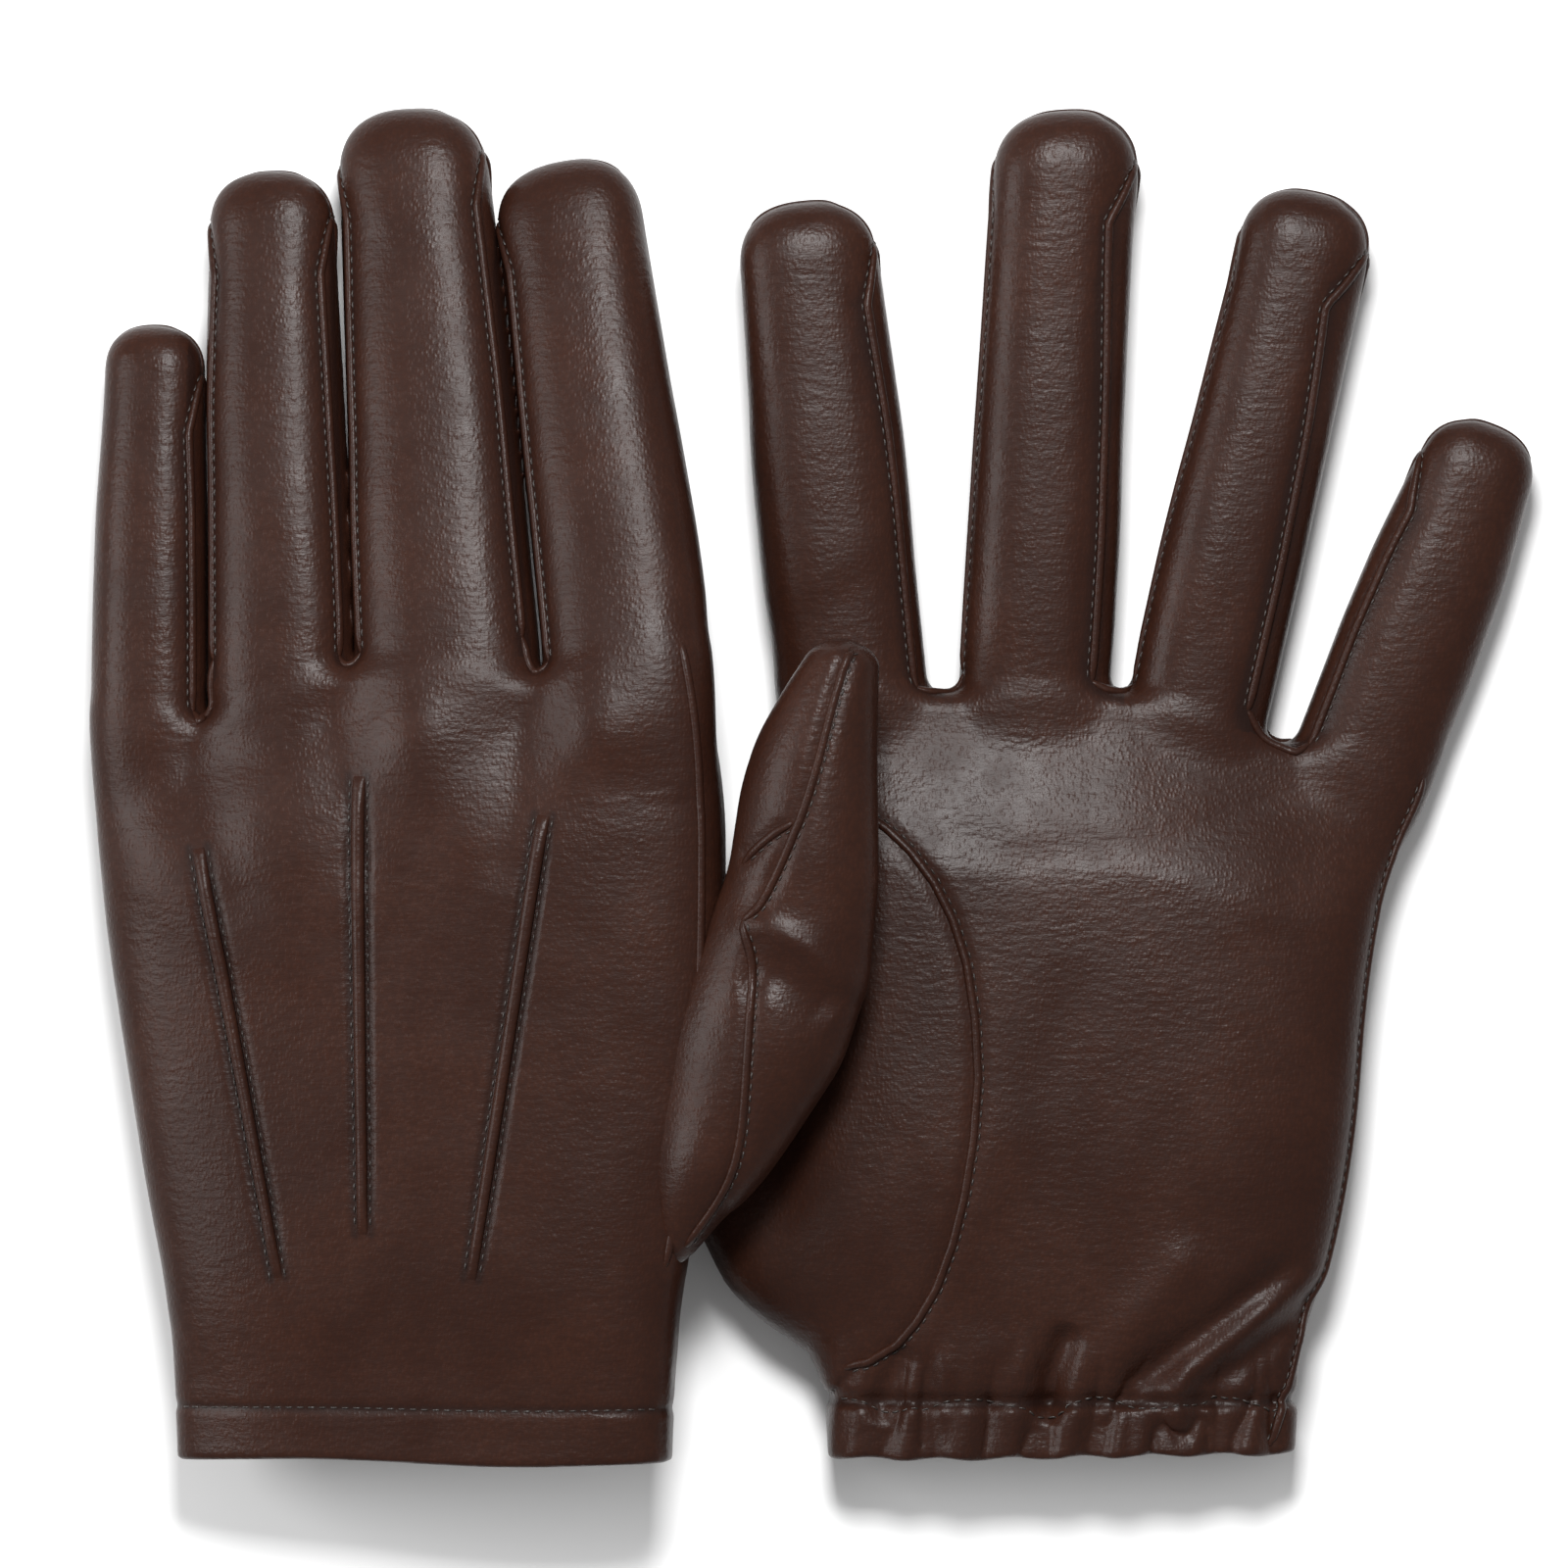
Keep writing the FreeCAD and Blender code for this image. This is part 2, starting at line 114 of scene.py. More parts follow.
LEATHER_DARK = (0.0220, 0.0074, 0.0043)
LEATHER_LIGHT = (0.0295, 0.0103, 0.0060)
LEATHER_MOTTLE = (0.0208, 0.0072, 0.0042)
# painted shade: the leather's colour in and beside its seams, stitch rows and hem row
LEATHER_SEAM_SHADE = (0.008, 0.0045, 0.004)
# painted shade: the leather's colour in the pits of its pebbled grain
LEATHER_PORE_SHADE = (0.012, 0.006, 0.005)
LINING_COLOURS = ((0.022, 0.016, 0.014), (0.045, 0.033, 0.029))
ELASTIC_COLOURS = ((0.055, 0.042, 0.036), (0.026, 0.020, 0.018))
THREAD_COLOURS = ((0.008, 0.005, 0.004), (0.026, 0.016, 0.012))
FLOOR_COLOUR = (0.93, 0.93, 0.93, 1.0)

KEY_LIGHT = ((0.0, 0.36, 0.75), 0.2, 8.5)  # place and size in metres, and watts
SIDE_LIGHT = ((-0.90, 0.10, 0.60), 0.5, 7.0)
WORLD_STRENGTH = 0.4
CAMERA_HEIGHT = 2.0  # metres above the gloves
SUBJECT_HEIGHT = 0.02
FIELD_OF_VIEW = 0.288  # width of the picture at the gloves
CAMERA_OVER = (-0.0058, 0.0)

BLEND_START = 1.5  # mm above the nearest crotch where a digit's bend, and its own pieces, start
BLEND_LENGTH = 34.0
THUMB_BEND = (-7.0, 20.0)  # where, from its hinge, the thumb's bend starts and stops; its own pieces start at the first
SIDE_WORDS = {-1: "thumb_side", 1: "little_side"}

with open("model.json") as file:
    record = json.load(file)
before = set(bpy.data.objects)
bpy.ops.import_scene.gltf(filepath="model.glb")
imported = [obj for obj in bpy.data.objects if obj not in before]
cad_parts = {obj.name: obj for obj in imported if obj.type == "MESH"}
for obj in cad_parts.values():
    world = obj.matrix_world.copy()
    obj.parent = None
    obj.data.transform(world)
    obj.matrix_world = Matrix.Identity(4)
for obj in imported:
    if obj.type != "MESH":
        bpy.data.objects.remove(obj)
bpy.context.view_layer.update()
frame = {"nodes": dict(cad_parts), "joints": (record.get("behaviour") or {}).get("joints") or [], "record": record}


# ---------------------------------------------------------------- measuring the CAD


def cad_mesh(nodes):
    """Points in mm and edges of several CAD nodes together."""
    points, edges, count = [], [], 0
    for name in nodes:
        mesh = frame["nodes"][name].data
        co = np.empty(len(mesh.vertices) * 3, np.float32)
        mesh.vertices.foreach_get("co", co)
        pairs = np.empty(len(mesh.edges) * 2, np.int32)
        mesh.edges.foreach_get("vertices", pairs)
        points.append(co.reshape(-1, 3).astype(float) / MM)
        edges.append(pairs.reshape(-1, 2) + count)
        count += len(mesh.vertices)
    return np.concatenate(points), np.concatenate(edges)


def slice_box(points, edges, axis, at):
    """The lowest and highest corner of where a mesh's edges cross a plane, or None."""
    a, b = points[edges[:, 0]], points[edges[:, 1]]
    crossing = (a[:, axis] - at) * (b[:, axis] - at) < 0
    if not crossing.any():
        return None
    a, b = a[crossing], b[crossing]
    share = (at - a[:, axis]) / (b[:, axis] - a[:, axis])
    hits = a + share[:, None] * (b - a)
    return hits.min(0), hits.max(0)


def unit(v):
    v = np.asarray(v, float)
    return v / np.linalg.norm(v)


class Axes:
    """A frame of its own: an origin and three axes in row millimetres."""

    def __init__(self, origin, x, y, z):
        self.origin = np.asarray(origin, float)
        self.basis = np.stack([x, y, z], axis=1)

    def into(self, points):
        return (points - self.origin) @ self.basis

    def out(self, points):
        return points @ self.basis.T + self.origin


class Profile:
    """Cross-sections along Y: the two sides in X and in Z at each station, smoothly joined."""

    def __init__(self, stations, boxes, reach=3.0):
        self.reach = reach
        self.y = np.array(stations, float)
        self.sides = np.array([[lo[0], hi[0], lo[2], hi[2]] for lo, hi in boxes], float)

    def at(self, y):
        """Centre x, centre z, half-width and half-height at each y."""
        x0, x1, z0, z1 = (smooth_interp(y, list(zip(self.y, side)), self.reach) for side in self.sides.T)
        return (x0 + x1) / 2, (z0 + z1) / 2, (x1 - x0) / 2, (z1 - z0) / 2


def smooth_interp(x, points, reach=3.0):
    """A line through points, rounded at each one."""
    xs = np.array([p[0] for p in points], float)
    ys = np.array([p[1] for p in points], float)
    shifts = np.linspace(-reach, reach, 5)
    return sum(np.interp(x + s, xs, ys) for s in shifts) / len(shifts)


# ---------------------------------------------------------------- fields


def smooth_min(a, b, k):
    h = np.clip(0.5 + 0.5 * (b - a) / k, 0.0, 1.0)
    return b + (a - b) * h - k * h * (1.0 - h)


def smooth_max(a, b, k):
    return -smooth_min(-a, -b, k)


def rounded_section(x, z, along, half_x, half_z, power):
    """Rough distance in mm to a superellipse with half-widths half_x and half_z. along is how far
    the point is past the start of a rounded end, over that end's length."""
    u, v = np.abs(x) / half_x, np.abs(z) / half_z
    size = (u**power + v**power + along**power) ** (1.0 / power)
    size = np.maximum(size, 1e-3)
    grow_x = (u / size) ** (power - 1.0) / half_x
    grow_z = (v / size) ** (power - 1.0) / half_z
    grow_y = (along / size) ** (power - 1.0) / np.minimum(half_x, half_z)
    return (size - 1.0) / np.sqrt(grow_x**2 + grow_z**2 + grow_y**2 + 1e-9)


def outline(share):
    """Where the hand's skin is, across at a height or high at a place across, in half-sizes."""
    return (1.0 - share**BODY_ROUND) ** (1.0 / BODY_ROUND)


def ripples(p, wavelength, seed, stretch=(1.0, 1.0, 1.0)):
    """Soft irregular waves between about -1 and 1."""
    rng = np.random.default_rng(seed)
    q = p / (wavelength * np.array(stretch))
    total = np.zeros(len(p), np.float32)
    for _ in range(7):
        direction = unit(rng.normal(size=3)) * rng.uniform(0.7, 1.5)
        phase = rng.uniform(0.0, 2.0 * math.pi)
        total += np.sin(2.0 * math.pi * (q @ direction) + phase + 0.6 * total)
    return total / 3.2


def path_distance(p, path):
    """Distance in the XY plane from points to a path, and how far along it, from 0 to 1."""
    path = np.asarray(path, float)
    best = np.full(len(p), 1e6)
    along = np.zeros(len(p))
    lengths = np.linalg.norm(np.diff(path, axis=0), axis=1)
    done, total = 0.0, lengths.sum()
    for a, b, length in zip(path, path[1:], lengths):
        d = (b - a) / length
        t = np.clip((p[:, :2] - a) @ d, 0.0, length)
        gap = np.linalg.norm(p[:, :2] - a - t[:, None] * d, axis=1)
        nearer = gap < best
        best[nearer] = gap[nearer]
        along[nearer] = (done + t[nearer]) / total
        done += length
    return best, along


def folds_height(p, folds):
    """Height in mm that a list of folds adds. A fold is (path, half-width, height)."""
    height = np.zeros(len(p))
    for path, width, rise in folds:
        low = np.min(path, axis=0) - 3.0 * width
        high = np.max(path, axis=0) + 3.0 * width
        near = np.flatnonzero(((p[:, :2] > low) & (p[:, :2] < high)).all(axis=1))
        gap, along = path_distance(p[near], path)
        fade = np.clip(4.0 * along * (1.0 - along) * 1.8, 0.0, 1.0)
        height[near] += rise * np.exp(-((gap / width) ** 2)) * fade
    return height


# ---------------------------------------------------------------- digits


class Digit:
    """A finger or thumb of a glove, measured from its CAD pieces in a frame on its hinge."""

    shares = (0.16, 0.3, 0.45, 0.62, 0.78, 0.84)  # of its length, where it is measured

    def __init__(self, glove, name):
        self.glove, self.name = glove, name
        self.body = f"{glove.name}_{name}"
        self.joint = next(j for j in frame["joints"] if j["child"] == self.body)
        nodes = frame["record"]["behaviour"]["bodies"][self.body]
        self.sides = [side for side, word in SIDE_WORDS.items()
                      if f"{self.body}_fourchette_{word}" in nodes]
        points, edges = cad_mesh(nodes)
        points = glove.axes.into(points)
        pivot = glove.axes.into(np.array(self.joint["pos_m"]) / MM)
        far = points[np.argmax(np.linalg.norm(points - pivot, axis=1))]
        forward = unit((far - pivot) * (1, 1, 0))
        self.axes = self.straightened(points, edges, pivot, forward)
        local = self.axes.into(points)
        self.length = local[:, 1].max()
        stations = [share * self.length for share in self.shares]
        boxes = [slice_box(local, edges, 1, y) for y in stations]
        self.profile = Profile([ROOT, *stations], [boxes[0], *boxes])

    def straightened(self, points, edges, pivot, forward):
        """The digit's axes: +Y through the middles of two slices across it."""
        for _ in range(3):
            right = unit(np.cross(forward, (0.0, 0.0, 1.0)))
            up = np.cross(right, forward)
            axes = Axes(pivot, right, forward, up)
            local = axes.into(points)
            reach = local[:, 1].max()
            middles = []
            for share in (0.3, 0.8):
                lo, hi = slice_box(local, edges, 1, share * reach)
                middles.append(axes.out((lo + hi) / 2))
            forward = unit(middles[1] - middles[0])
        start = axes.into(middles[0])
        return Axes(axes.out(np.array([start[0], 0.0, start[2]])), right, forward, up)

    def sections(self, y):
        cx, cz, half_x, half_z = self.profile.at(y)
        return cx, cz, half_x + SWELL, half_z

    def field(self, p):
        """Distance in mm to the digit's skin at points in the glove's frame."""
        q = self.axes.into(p)
        x, y, z = q[:, 0], q[:, 1], q[:, 2]
        cx, cz, half_x, half_z = self.sections(y)
        tip = self.profile.at(self.length)[2] * TIP_LENGTH
        along = np.clip((y - (self.length - tip)) / tip, 0.0, None)
        d = rounded_section(x - cx, z - cz, along, half_x, half_z, DIGIT_ROUND)
        depth, width = SEAM_VALLEY
        fade = np.clip((y - self.start + SEAM_FADE) / SEAM_FADE, 0.0, 1.0)
        d += depth * fade * np.exp(-((self.seam_distance(q) / width) ** 2))
        buried = np.clip((self.start - y) / (self.start + STUB), 0.0, 1.0)
        return smooth_max(d + STUB_SINK * buried**2, -STUB - y, 3.0)

    def seam_height(self, side, face, y):
        """Height over the digit's middle of a fourchette's seam, in the digit's frame."""
        lift = self.glove.lifts.get((self.name, side), 0.0)
        narrowing = np.clip((self.length - TIP_SEAM - y) / FOURCHETTE_POINT, 0.0, 1.0)
        _, cz, _, half_z = self.sections(y)
        height = np.minimum(SEAM_HEIGHT, SEAM_HIGHEST * half_z)
        lift = np.minimum(lift, 0.93 * half_z - height)
        return cz + lift + face * height * np.sqrt(narrowing)

    def seam_distance(self, q):
        """Distance in mm from points in the digit's frame to its nearest seam."""
        best = np.full(len(q), 99.0)
        half_x = self.sections(q[:, 1])[2]
        for side in self.sides:
            inward = np.clip(half_x * 0.55 - side * q[:, 0], 0.0, None)
            for face in (1, -1):
                gap = np.hypot(q[:, 2] - self.seam_height(side, face, q[:, 1]), inward)
                best = np.minimum(best, gap)
        return best

    def on_side(self, side, y, height):
        """Points in the glove's frame on one side of the digit, at heights in its frame."""
        cx, cz, half_x, half_z = self.sections(y)
        v = np.clip(np.abs(height - cz) / half_z, 0.0, 0.98)
        tip = half_x * TIP_LENGTH
        along = np.clip((y - (self.length - tip)) / tip, 0.0, 1.0)
        left = np.clip(1.0 - v**DIGIT_ROUND - along**DIGIT_ROUND, 0.0, 1.0)
        x = cx + side * half_x * left ** (1.0 / DIGIT_ROUND)
        return self.axes.out(np.stack([x, y, height], axis=-1))

    def seam_path(self, side, face):
        """A fourchette's seam from the bend to the fourchette's point."""
        y = np.linspace(self.start, self.length - TIP_SEAM, 60)
        return self.on_side(side, y, self.seam_height(side, face, y))

    def tip_path(self):
        """The seam over the fingertip, from one side to the other."""
        angle = np.linspace(0.0, math.pi, 40)
        y0 = self.length - TIP_SEAM
        half_x = self.sections(y0)[2]
        y = y0 + (TIP_SEAM - 0.3) * np.sin(angle)
        first, last = (self.glove.lifts.get((self.name, s), 0.0) for s in (1, -1))
        height = self.sections(y)[1] + np.interp(angle, (0.0, math.pi), (first, last))
        x = half_x * np.cos(angle)
        path = self.axes.out(np.stack([x, y, height], axis=-1))
        if self.sides == [1]:
            path = path[: int(len(path) * 0.8)]
        if self.sides == [-1]:
            path = path[int(len(path) * 0.2) :]
        return path


class Thumb(Digit):
    """The thumb also takes its shape below the hinge from the set-in base."""

    shares = (0.16, 0.3, 0.45, 0.62, 0.78, 0.9, 0.97)

    def __init__(self, glove, name="thumb"):
        super().__init__(glove, name)
        points, edges = cad_mesh([f"{glove.name}_thumb_base"])
        local = self.axes.into(glove.axes.into(points))
        low = local[:, 1].min()
        stations, boxes = [], []
        for share in (0.06, 0.2, 0.4, 0.65, 0.9):
            y = low * (1.0 - share)
            lo, hi = slice_box(local, edges, 1, y)
            hi[0] = max(hi[0], self.profile.sides[0, 1]) + glove.thumb_depth * min(1.0, y / low * 2.5)
            stations.append(y)
            boxes.append((lo, hi))
        stations += list(self.profile.y[1:])
        boxes += [((x0, 0.0, z0), (x1, 0.0, z1)) for x0, x1, z0, z1 in self.profile.sides[1:]]
        self.profile = Profile(stations, boxes)
        self.low = low

    def field(self, p):
        q = self.axes.into(p)
        x, y, z = q[:, 0], q[:, 1], q[:, 2]
        cx, cz, half_x, half_z = self.sections(y)
        tip, base = THUMB_ENDS
        along = np.clip((y - (self.length - tip)) / tip, 0.0, None)
        along += np.clip((self.low + base - y) / base, 0.0, None)
        return rounded_section(x - cx, z - cz, along, half_x, half_z, self.glove.thumb_round)


# ---------------------------------------------------------------- gloves


class Skin:
    """A field sampled on a grid in a glove's frame, and the mesh of its surface."""

    def __init__(self, low, high):
        self.low = np.asarray(low, float)
        counts = np.ceil((np.asarray(high) - self.low) / VOXEL).astype(int) + 1
        self.d = np.full(counts, 2.0 * BAND, np.float32)

    def axis_points(self, axis):
        return self.low[axis] + VOXEL * np.arange(self.d.shape[axis])

    def window(self, low, high):
        """Index ranges of the samples inside a box."""
        a = np.clip(np.floor((low - self.low) / VOXEL).astype(int), 0, self.d.shape)
        b = np.clip(np.ceil((high - self.low) / VOXEL).astype(int) + 1, 0, self.d.shape)
        return tuple(slice(i, j) for i, j in zip(a, b))

    def window_points(self, window):
        axes = [self.low[i] + VOXEL * np.arange(w.start, w.stop) for i, w in enumerate(window)]
        return np.stack(np.meshgrid(*axes, indexing="ij"), axis=-1).reshape(-1, 3)

    def near(self, reach):
        """Indices and points of the samples near the surface."""
        index = np.nonzero(np.abs(self.d) < reach)
        return index, self.low + VOXEL * np.stack(index, axis=-1)

    def sample(self, p):
        """The field at any points, between its samples."""
        q = (p - self.low) / VOXEL
        q = np.clip(q, 0, np.array(self.d.shape) - 1.001)
        i = q.astype(int)
        f = q - i
        total = 0.0
        for dx in (0, 1):
            for dy in (0, 1):
                for dz in (0, 1):
                    share = (
                        (f[:, 0] if dx else 1 - f[:, 0])
                        * (f[:, 1] if dy else 1 - f[:, 1])
                        * (f[:, 2] if dz else 1 - f[:, 2])
                    )
                    total = total + share * self.d[i[:, 0] + dx, i[:, 1] + dy, i[:, 2] + dz]
        return total

    def normal(self, p):
        slope = [self.sample(p + o) - self.sample(p - o) for o in np.eye(3) * VOXEL]
        n = np.stack(slope, axis=-1)
        return n / np.maximum(np.linalg.norm(n, axis=1, keepdims=True), 1e-6)

    def onto(self, p, rounds=4):
        """Points moved onto the surface."""
        for _ in range(rounds):
            p = p - self.normal(p) * self.sample(p)[:, None]
        return p


def polygons(d, low):
    """Points and quads of the surface where d is zero."""
    grid = openvdb.FloatGrid(2.0 * BAND)
    grid.copyFromArray(np.clip(d, -BAND, BAND).astype(np.float32))
    points, quads = grid.convertToQuads(0.0)
    return low + VOXEL * points.astype(float), quads.astype(np.int64)


class Glove:
    """One glove: its own frame, its measured hand and digits, and the folds in its leather."""

    def __init__(self, name, face_up, thumb_depth, thumb_round, thumb_joined, folds, bumps, lifts, wave,
                 thumb_seams, spread_most, gathered):
        self.name = name
        self.face_up = face_up  # 1 if its palm faces up, -1 if its back does
        self.thumb_depth = thumb_depth
        self.thumb_round = thumb_round
        self.thumb_joined = thumb_joined
        self.thumb_seams = [rounded_path(path, 24) for path in thumb_seams]
        self.gathered = gathered
        self.folds = folds  # (path, half-width, height) of each fold on the face that shows
        self.bumps = bumps  # (centre, radius, height) of each knuckle or pad on that face
        self.lifts = lifts  # {(digit, side): how far a fourchette is rolled up to the palm}
        self.wave = wave  # (height, wavelength) of the cuff's edge
        self.axes = self.measured_axes()
        nodes = [f"{name}_palm_leather", f"{name}_back_leather"]
        points, edges = cad_mesh(nodes)
        self.hand_points = self.axes.into(points)
        self.hand_edges = edges
        self.fingers = [Digit(self, n) for n in ("index", "middle", "ring", "little")]
        self.thumb = Thumb(self)
        self.crotches = self.measured_crotches()
        for a, b in zip(self.fingers, self.fingers[1:]):
            self.fill_gap(a, b, spread_most)
        self.mark_bends()
        self.hand = self.measured_hand()
        self.point_ends = bar_ends(self, f"{name}_points")
        self.point_rows = self.measured_point_rows()

    def joint_axis(self, digit):
        found = next(j for j in frame["joints"] if j["child"] == f"{self.name}_{digit}")
        return np.array(found["axis"])

    def measured_axes(self):
        """+Z is square to the hinges of the fingers, which all lie in the plane of the palm."""
        normal = unit(np.cross(self.joint_axis("little"), self.joint_axis("index")))
        normal *= np.sign(normal[2]) * self.face_up
        forward = np.array((0.0, 1.0, 0.0))
        low, high = (np.array(c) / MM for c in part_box(f"{self.name}_cuff_hem"))
        middle = (low + high) / 2
        return Axes((middle[0], low[1], middle[2]), np.cross(forward, normal), forward, normal)

    def measured_crotches(self):
        """(x, y) between each two fingers, where the hand's leather ends."""
        found = []
        for a, b in zip(self.fingers, self.fingers[1:]):
            columns = np.linspace(a.axes.origin[0] + 6.0, b.axes.origin[0] - 6.0, 41)
            tops = [slice_box(self.hand_points, self.hand_edges, 0, x)[1][1] for x in columns]
            lowest = np.flatnonzero(np.array(tops) < min(tops) + 0.8)
            found.append((columns[lowest].mean(), min(tops)))
        return found

    def measured_hand(self):
        """The hand's profile. Past the knuckles its sides are those of the outer fingers."""
        top = min(y for _, y in self.crotches) - 14.0
        stations = [0.5, 6.0, 11.0, 16.0, *np.linspace(22.0, top, 12)]
        boxes = [slice_box(self.hand_points, self.hand_edges, 1, y) for y in stations]
        last = boxes[-1]
        for y in np.linspace(top + 14.0, top + 44.0, 6):
            stations.append(y)
            boxes.append(((self.outer_edge(0, y), y, last[0][2]), (self.outer_edge(-1, y), y, last[1][2])))
        return Profile(stations, boxes, HAND_SMOOTH)

    def measured_point_rows(self):
        """The two rows of stitches beside each point, in the glove's XY plane."""
        rows = []
        for a, b in self.point_ends:
            across = unit((b - a)[[1, 0]] * (1, -1))
            for side in (1, -1):
                first, last = (side * (w / 2 + POINT_ROW) * across for w in POINT_WIDTHS)
                rows.append([a[:2] + first, b[:2] + last])
        return rows

    def outer_edge(self, which, y):
        """x of the outer side of the first or last finger, at a height up the glove."""
        finger = self.fingers[which]
        lo, hi = finger.profile.sides[0, :2]
        side = lo + UNDER[0] if which == 0 else hi - UNDER[0]
        line = finger.axes.out(np.array([[side, -30.0, 0.0], [side, 40.0, 0.0]]))
        return np.interp(y, line[:, 1], line[:, 0])

    def fill_gap(self, a, b, most):
        """Widen two neighbouring fingers until they nearly touch, each by no more than a limit."""
        changes = []
        for finger, other, column in ((a, b, 1), (b, a, 0)):
            sides = finger.profile.sides
            edge = np.stack([sides[:, column], finger.profile.y, np.zeros(len(sides))], axis=-1)
            facing = other.axes.into(finger.axes.out(edge))
            other_edge = np.interp(facing[:, 1], other.profile.y, other.profile.sides[:, 1 - column])
            gap = (other_edge - facing[:, 0]) * (1 if column else -1)
            wider = np.clip((gap - FINGER_GAP) / 2, 0.0, most)
            changes.append((sides, column, wider if column else -wider))
        for sides, column, wider in changes:
            sides[:, column] += wider

    def mark_bends(self):
        """Where each digit's bend starts and stops, along the digit; its own pieces start at the first."""
        for i, digit in enumerate(self.fingers):
            near = self.crotches[max(0, i - 1) : i + 1]
            tops = [digit.axes.into(np.array([x, y, 0.0]))[1] for x, y in near]
            digit.start = max(tops) + BLEND_START
            digit.end = digit.start + BLEND_LENGTH
        self.thumb.start, self.thumb.end = THUMB_BEND

    # ------------------------------------------------ fields

    def hand_field(self, skin):
        """The hand's part of the field, for every sample of a grid."""
        x, y, z = (skin.axis_points(axis) for axis in range(3))
        cx, cz, half_x, half_z = self.hand.at(y)
        ends = smooth_interp(x, self.crotch_line())
        share = np.clip((y[None, :] - ends[:, None] + KNUCKLES) / KNUCKLES, 0.0, 1.0)
        share = share * share * (3.0 - 2.0 * share)
        finger_z, finger_half = self.finger_heights(x)
        cz = cz[None, :] + share * (finger_z[:, None] - cz[None, :])
        half_z = half_z[None, :] + share * (finger_half[:, None] - half_z[None, :])
        u = np.abs(x[:, None] - cx) / half_x
        v = np.abs(z - cz[:, :, None]) / half_z[:, :, None]
        v, u = v.astype(np.float32), u[:, :, None].astype(np.float32)
        power = BODY_ROUND
        size = np.maximum((u**power + v**power) ** (1.0 / power), 1e-2)
        grow_x = (u / size) ** (power - 1.0) / half_x[None, :, None].astype(np.float32)
        grow_z = (v / size) ** (power - 1.0) / half_z[:, :, None].astype(np.float32)
        d = (size - 1.0) / np.sqrt(grow_x**2 + grow_z**2 + 1e-9)
        return smooth_max(d, (y[None, :] - ends[:, None])[:, :, None], CROTCH_BLEND)

    def finger_heights(self, x):
        """Middle and half-height of the fingers' roots, at each x across the hand."""
        roots = [f.axes.out(np.array([0.0, f.start, f.sections(f.start)[1]])) for f in self.fingers]
        places = [root[0] for root in roots]
        halves = [f.sections(f.start)[3] - UNDER[1] for f in self.fingers]
        return np.interp(x, places, [root[2] for root in roots]), np.interp(x, places, halves)

    def crotch_line(self):
        """The line across the knuckles on which the hand ends."""
        (x0, y0), (x1, y1) = self.crotches[0], self.crotches[-1]
        first, last = self.fingers[0], self.fingers[-1]
        start = first.axes.out(np.array([first.profile.sides[0, 0], -8.0, 0.0]))
        stop = last.axes.out(np.array([last.profile.sides[0, 1], -8.0, 0.0]))
        return [(start[0], start[1]), *self.crotches, (stop[0], stop[1])]

    def reach(self, digit):
        """Lowest and highest corner, in the glove's frame, of the samples a digit needs."""
        local = digit.profile.sides
        low = np.array([local[:, 0].min(), -STUB - 3.0, local[:, 2].min()]) - MARGIN
        high = np.array([local[:, 1].max(), digit.length + 1.0, local[:, 3].max()]) + MARGIN
        if digit is self.thumb:
            low[1] = digit.low - MARGIN
        corners = np.array([[(low, high)[b][a] for a, b in enumerate(bits)]
                            for bits in np.ndindex(2, 2, 2)])
        placed = digit.axes.out(corners)
        return placed.min(0), placed.max(0)

    def add_digit(self, skin, digit, fingers, extra=0.0):
        """Join a digit's field into the grid of fingers."""
        low, high = self.reach(digit)
        window = skin.window(low - extra, high + extra)
        p = skin.window_points(window)
        made = digit.field(p).reshape(fingers[window].shape)
        fingers[window] = np.minimum(fingers[window], made)

    def make_skin(self):
        digits = [*self.fingers, self.thumb] if self.thumb_joined else self.fingers
        points = np.concatenate([self.hand_points, *[self.corners(d) for d in digits]])
        low = points.min(0) - MARGIN
        high = points.max(0) + MARGIN
        low[1] = -MARGIN
        skin = Skin(low, high)
        fingers = skin.d.copy()
        for digit in self.fingers:
            self.add_digit(skin, digit, fingers)
        skin.d = smooth_min(self.hand_field(skin), fingers, HAND_BLEND).astype(np.float32)
        if self.thumb_joined:
            thumb = np.full_like(skin.d, 2.0 * THUMB_BLEND)
            self.add_digit(skin, self.thumb, thumb, THUMB_BLEND)
            skin.d = smooth_min(skin.d, thumb, THUMB_BLEND).astype(np.float32)
        self.shape_leather(skin)
        return skin

    def corners(self, digit):
        low, high = self.reach(digit)
        return np.array([low + MARGIN, high - MARGIN])

    def make_thumb_skin(self):
        low, high = self.reach(self.thumb)
        skin = Skin(low, high)
        p = skin.window_points(tuple(slice(0, n) for n in skin.d.shape))
        skin.d = self.thumb.field(p).reshape(skin.d.shape).astype(np.float32)
        self.shape_leather(skin)
        return skin

    def shape_leather(self, skin):
        """Press the folds and soft unevenness of worn leather into the field."""
        index, p = skin.near(1.8 * BAND)
        skin.d[index] -= self.relief(p).astype(np.float32)

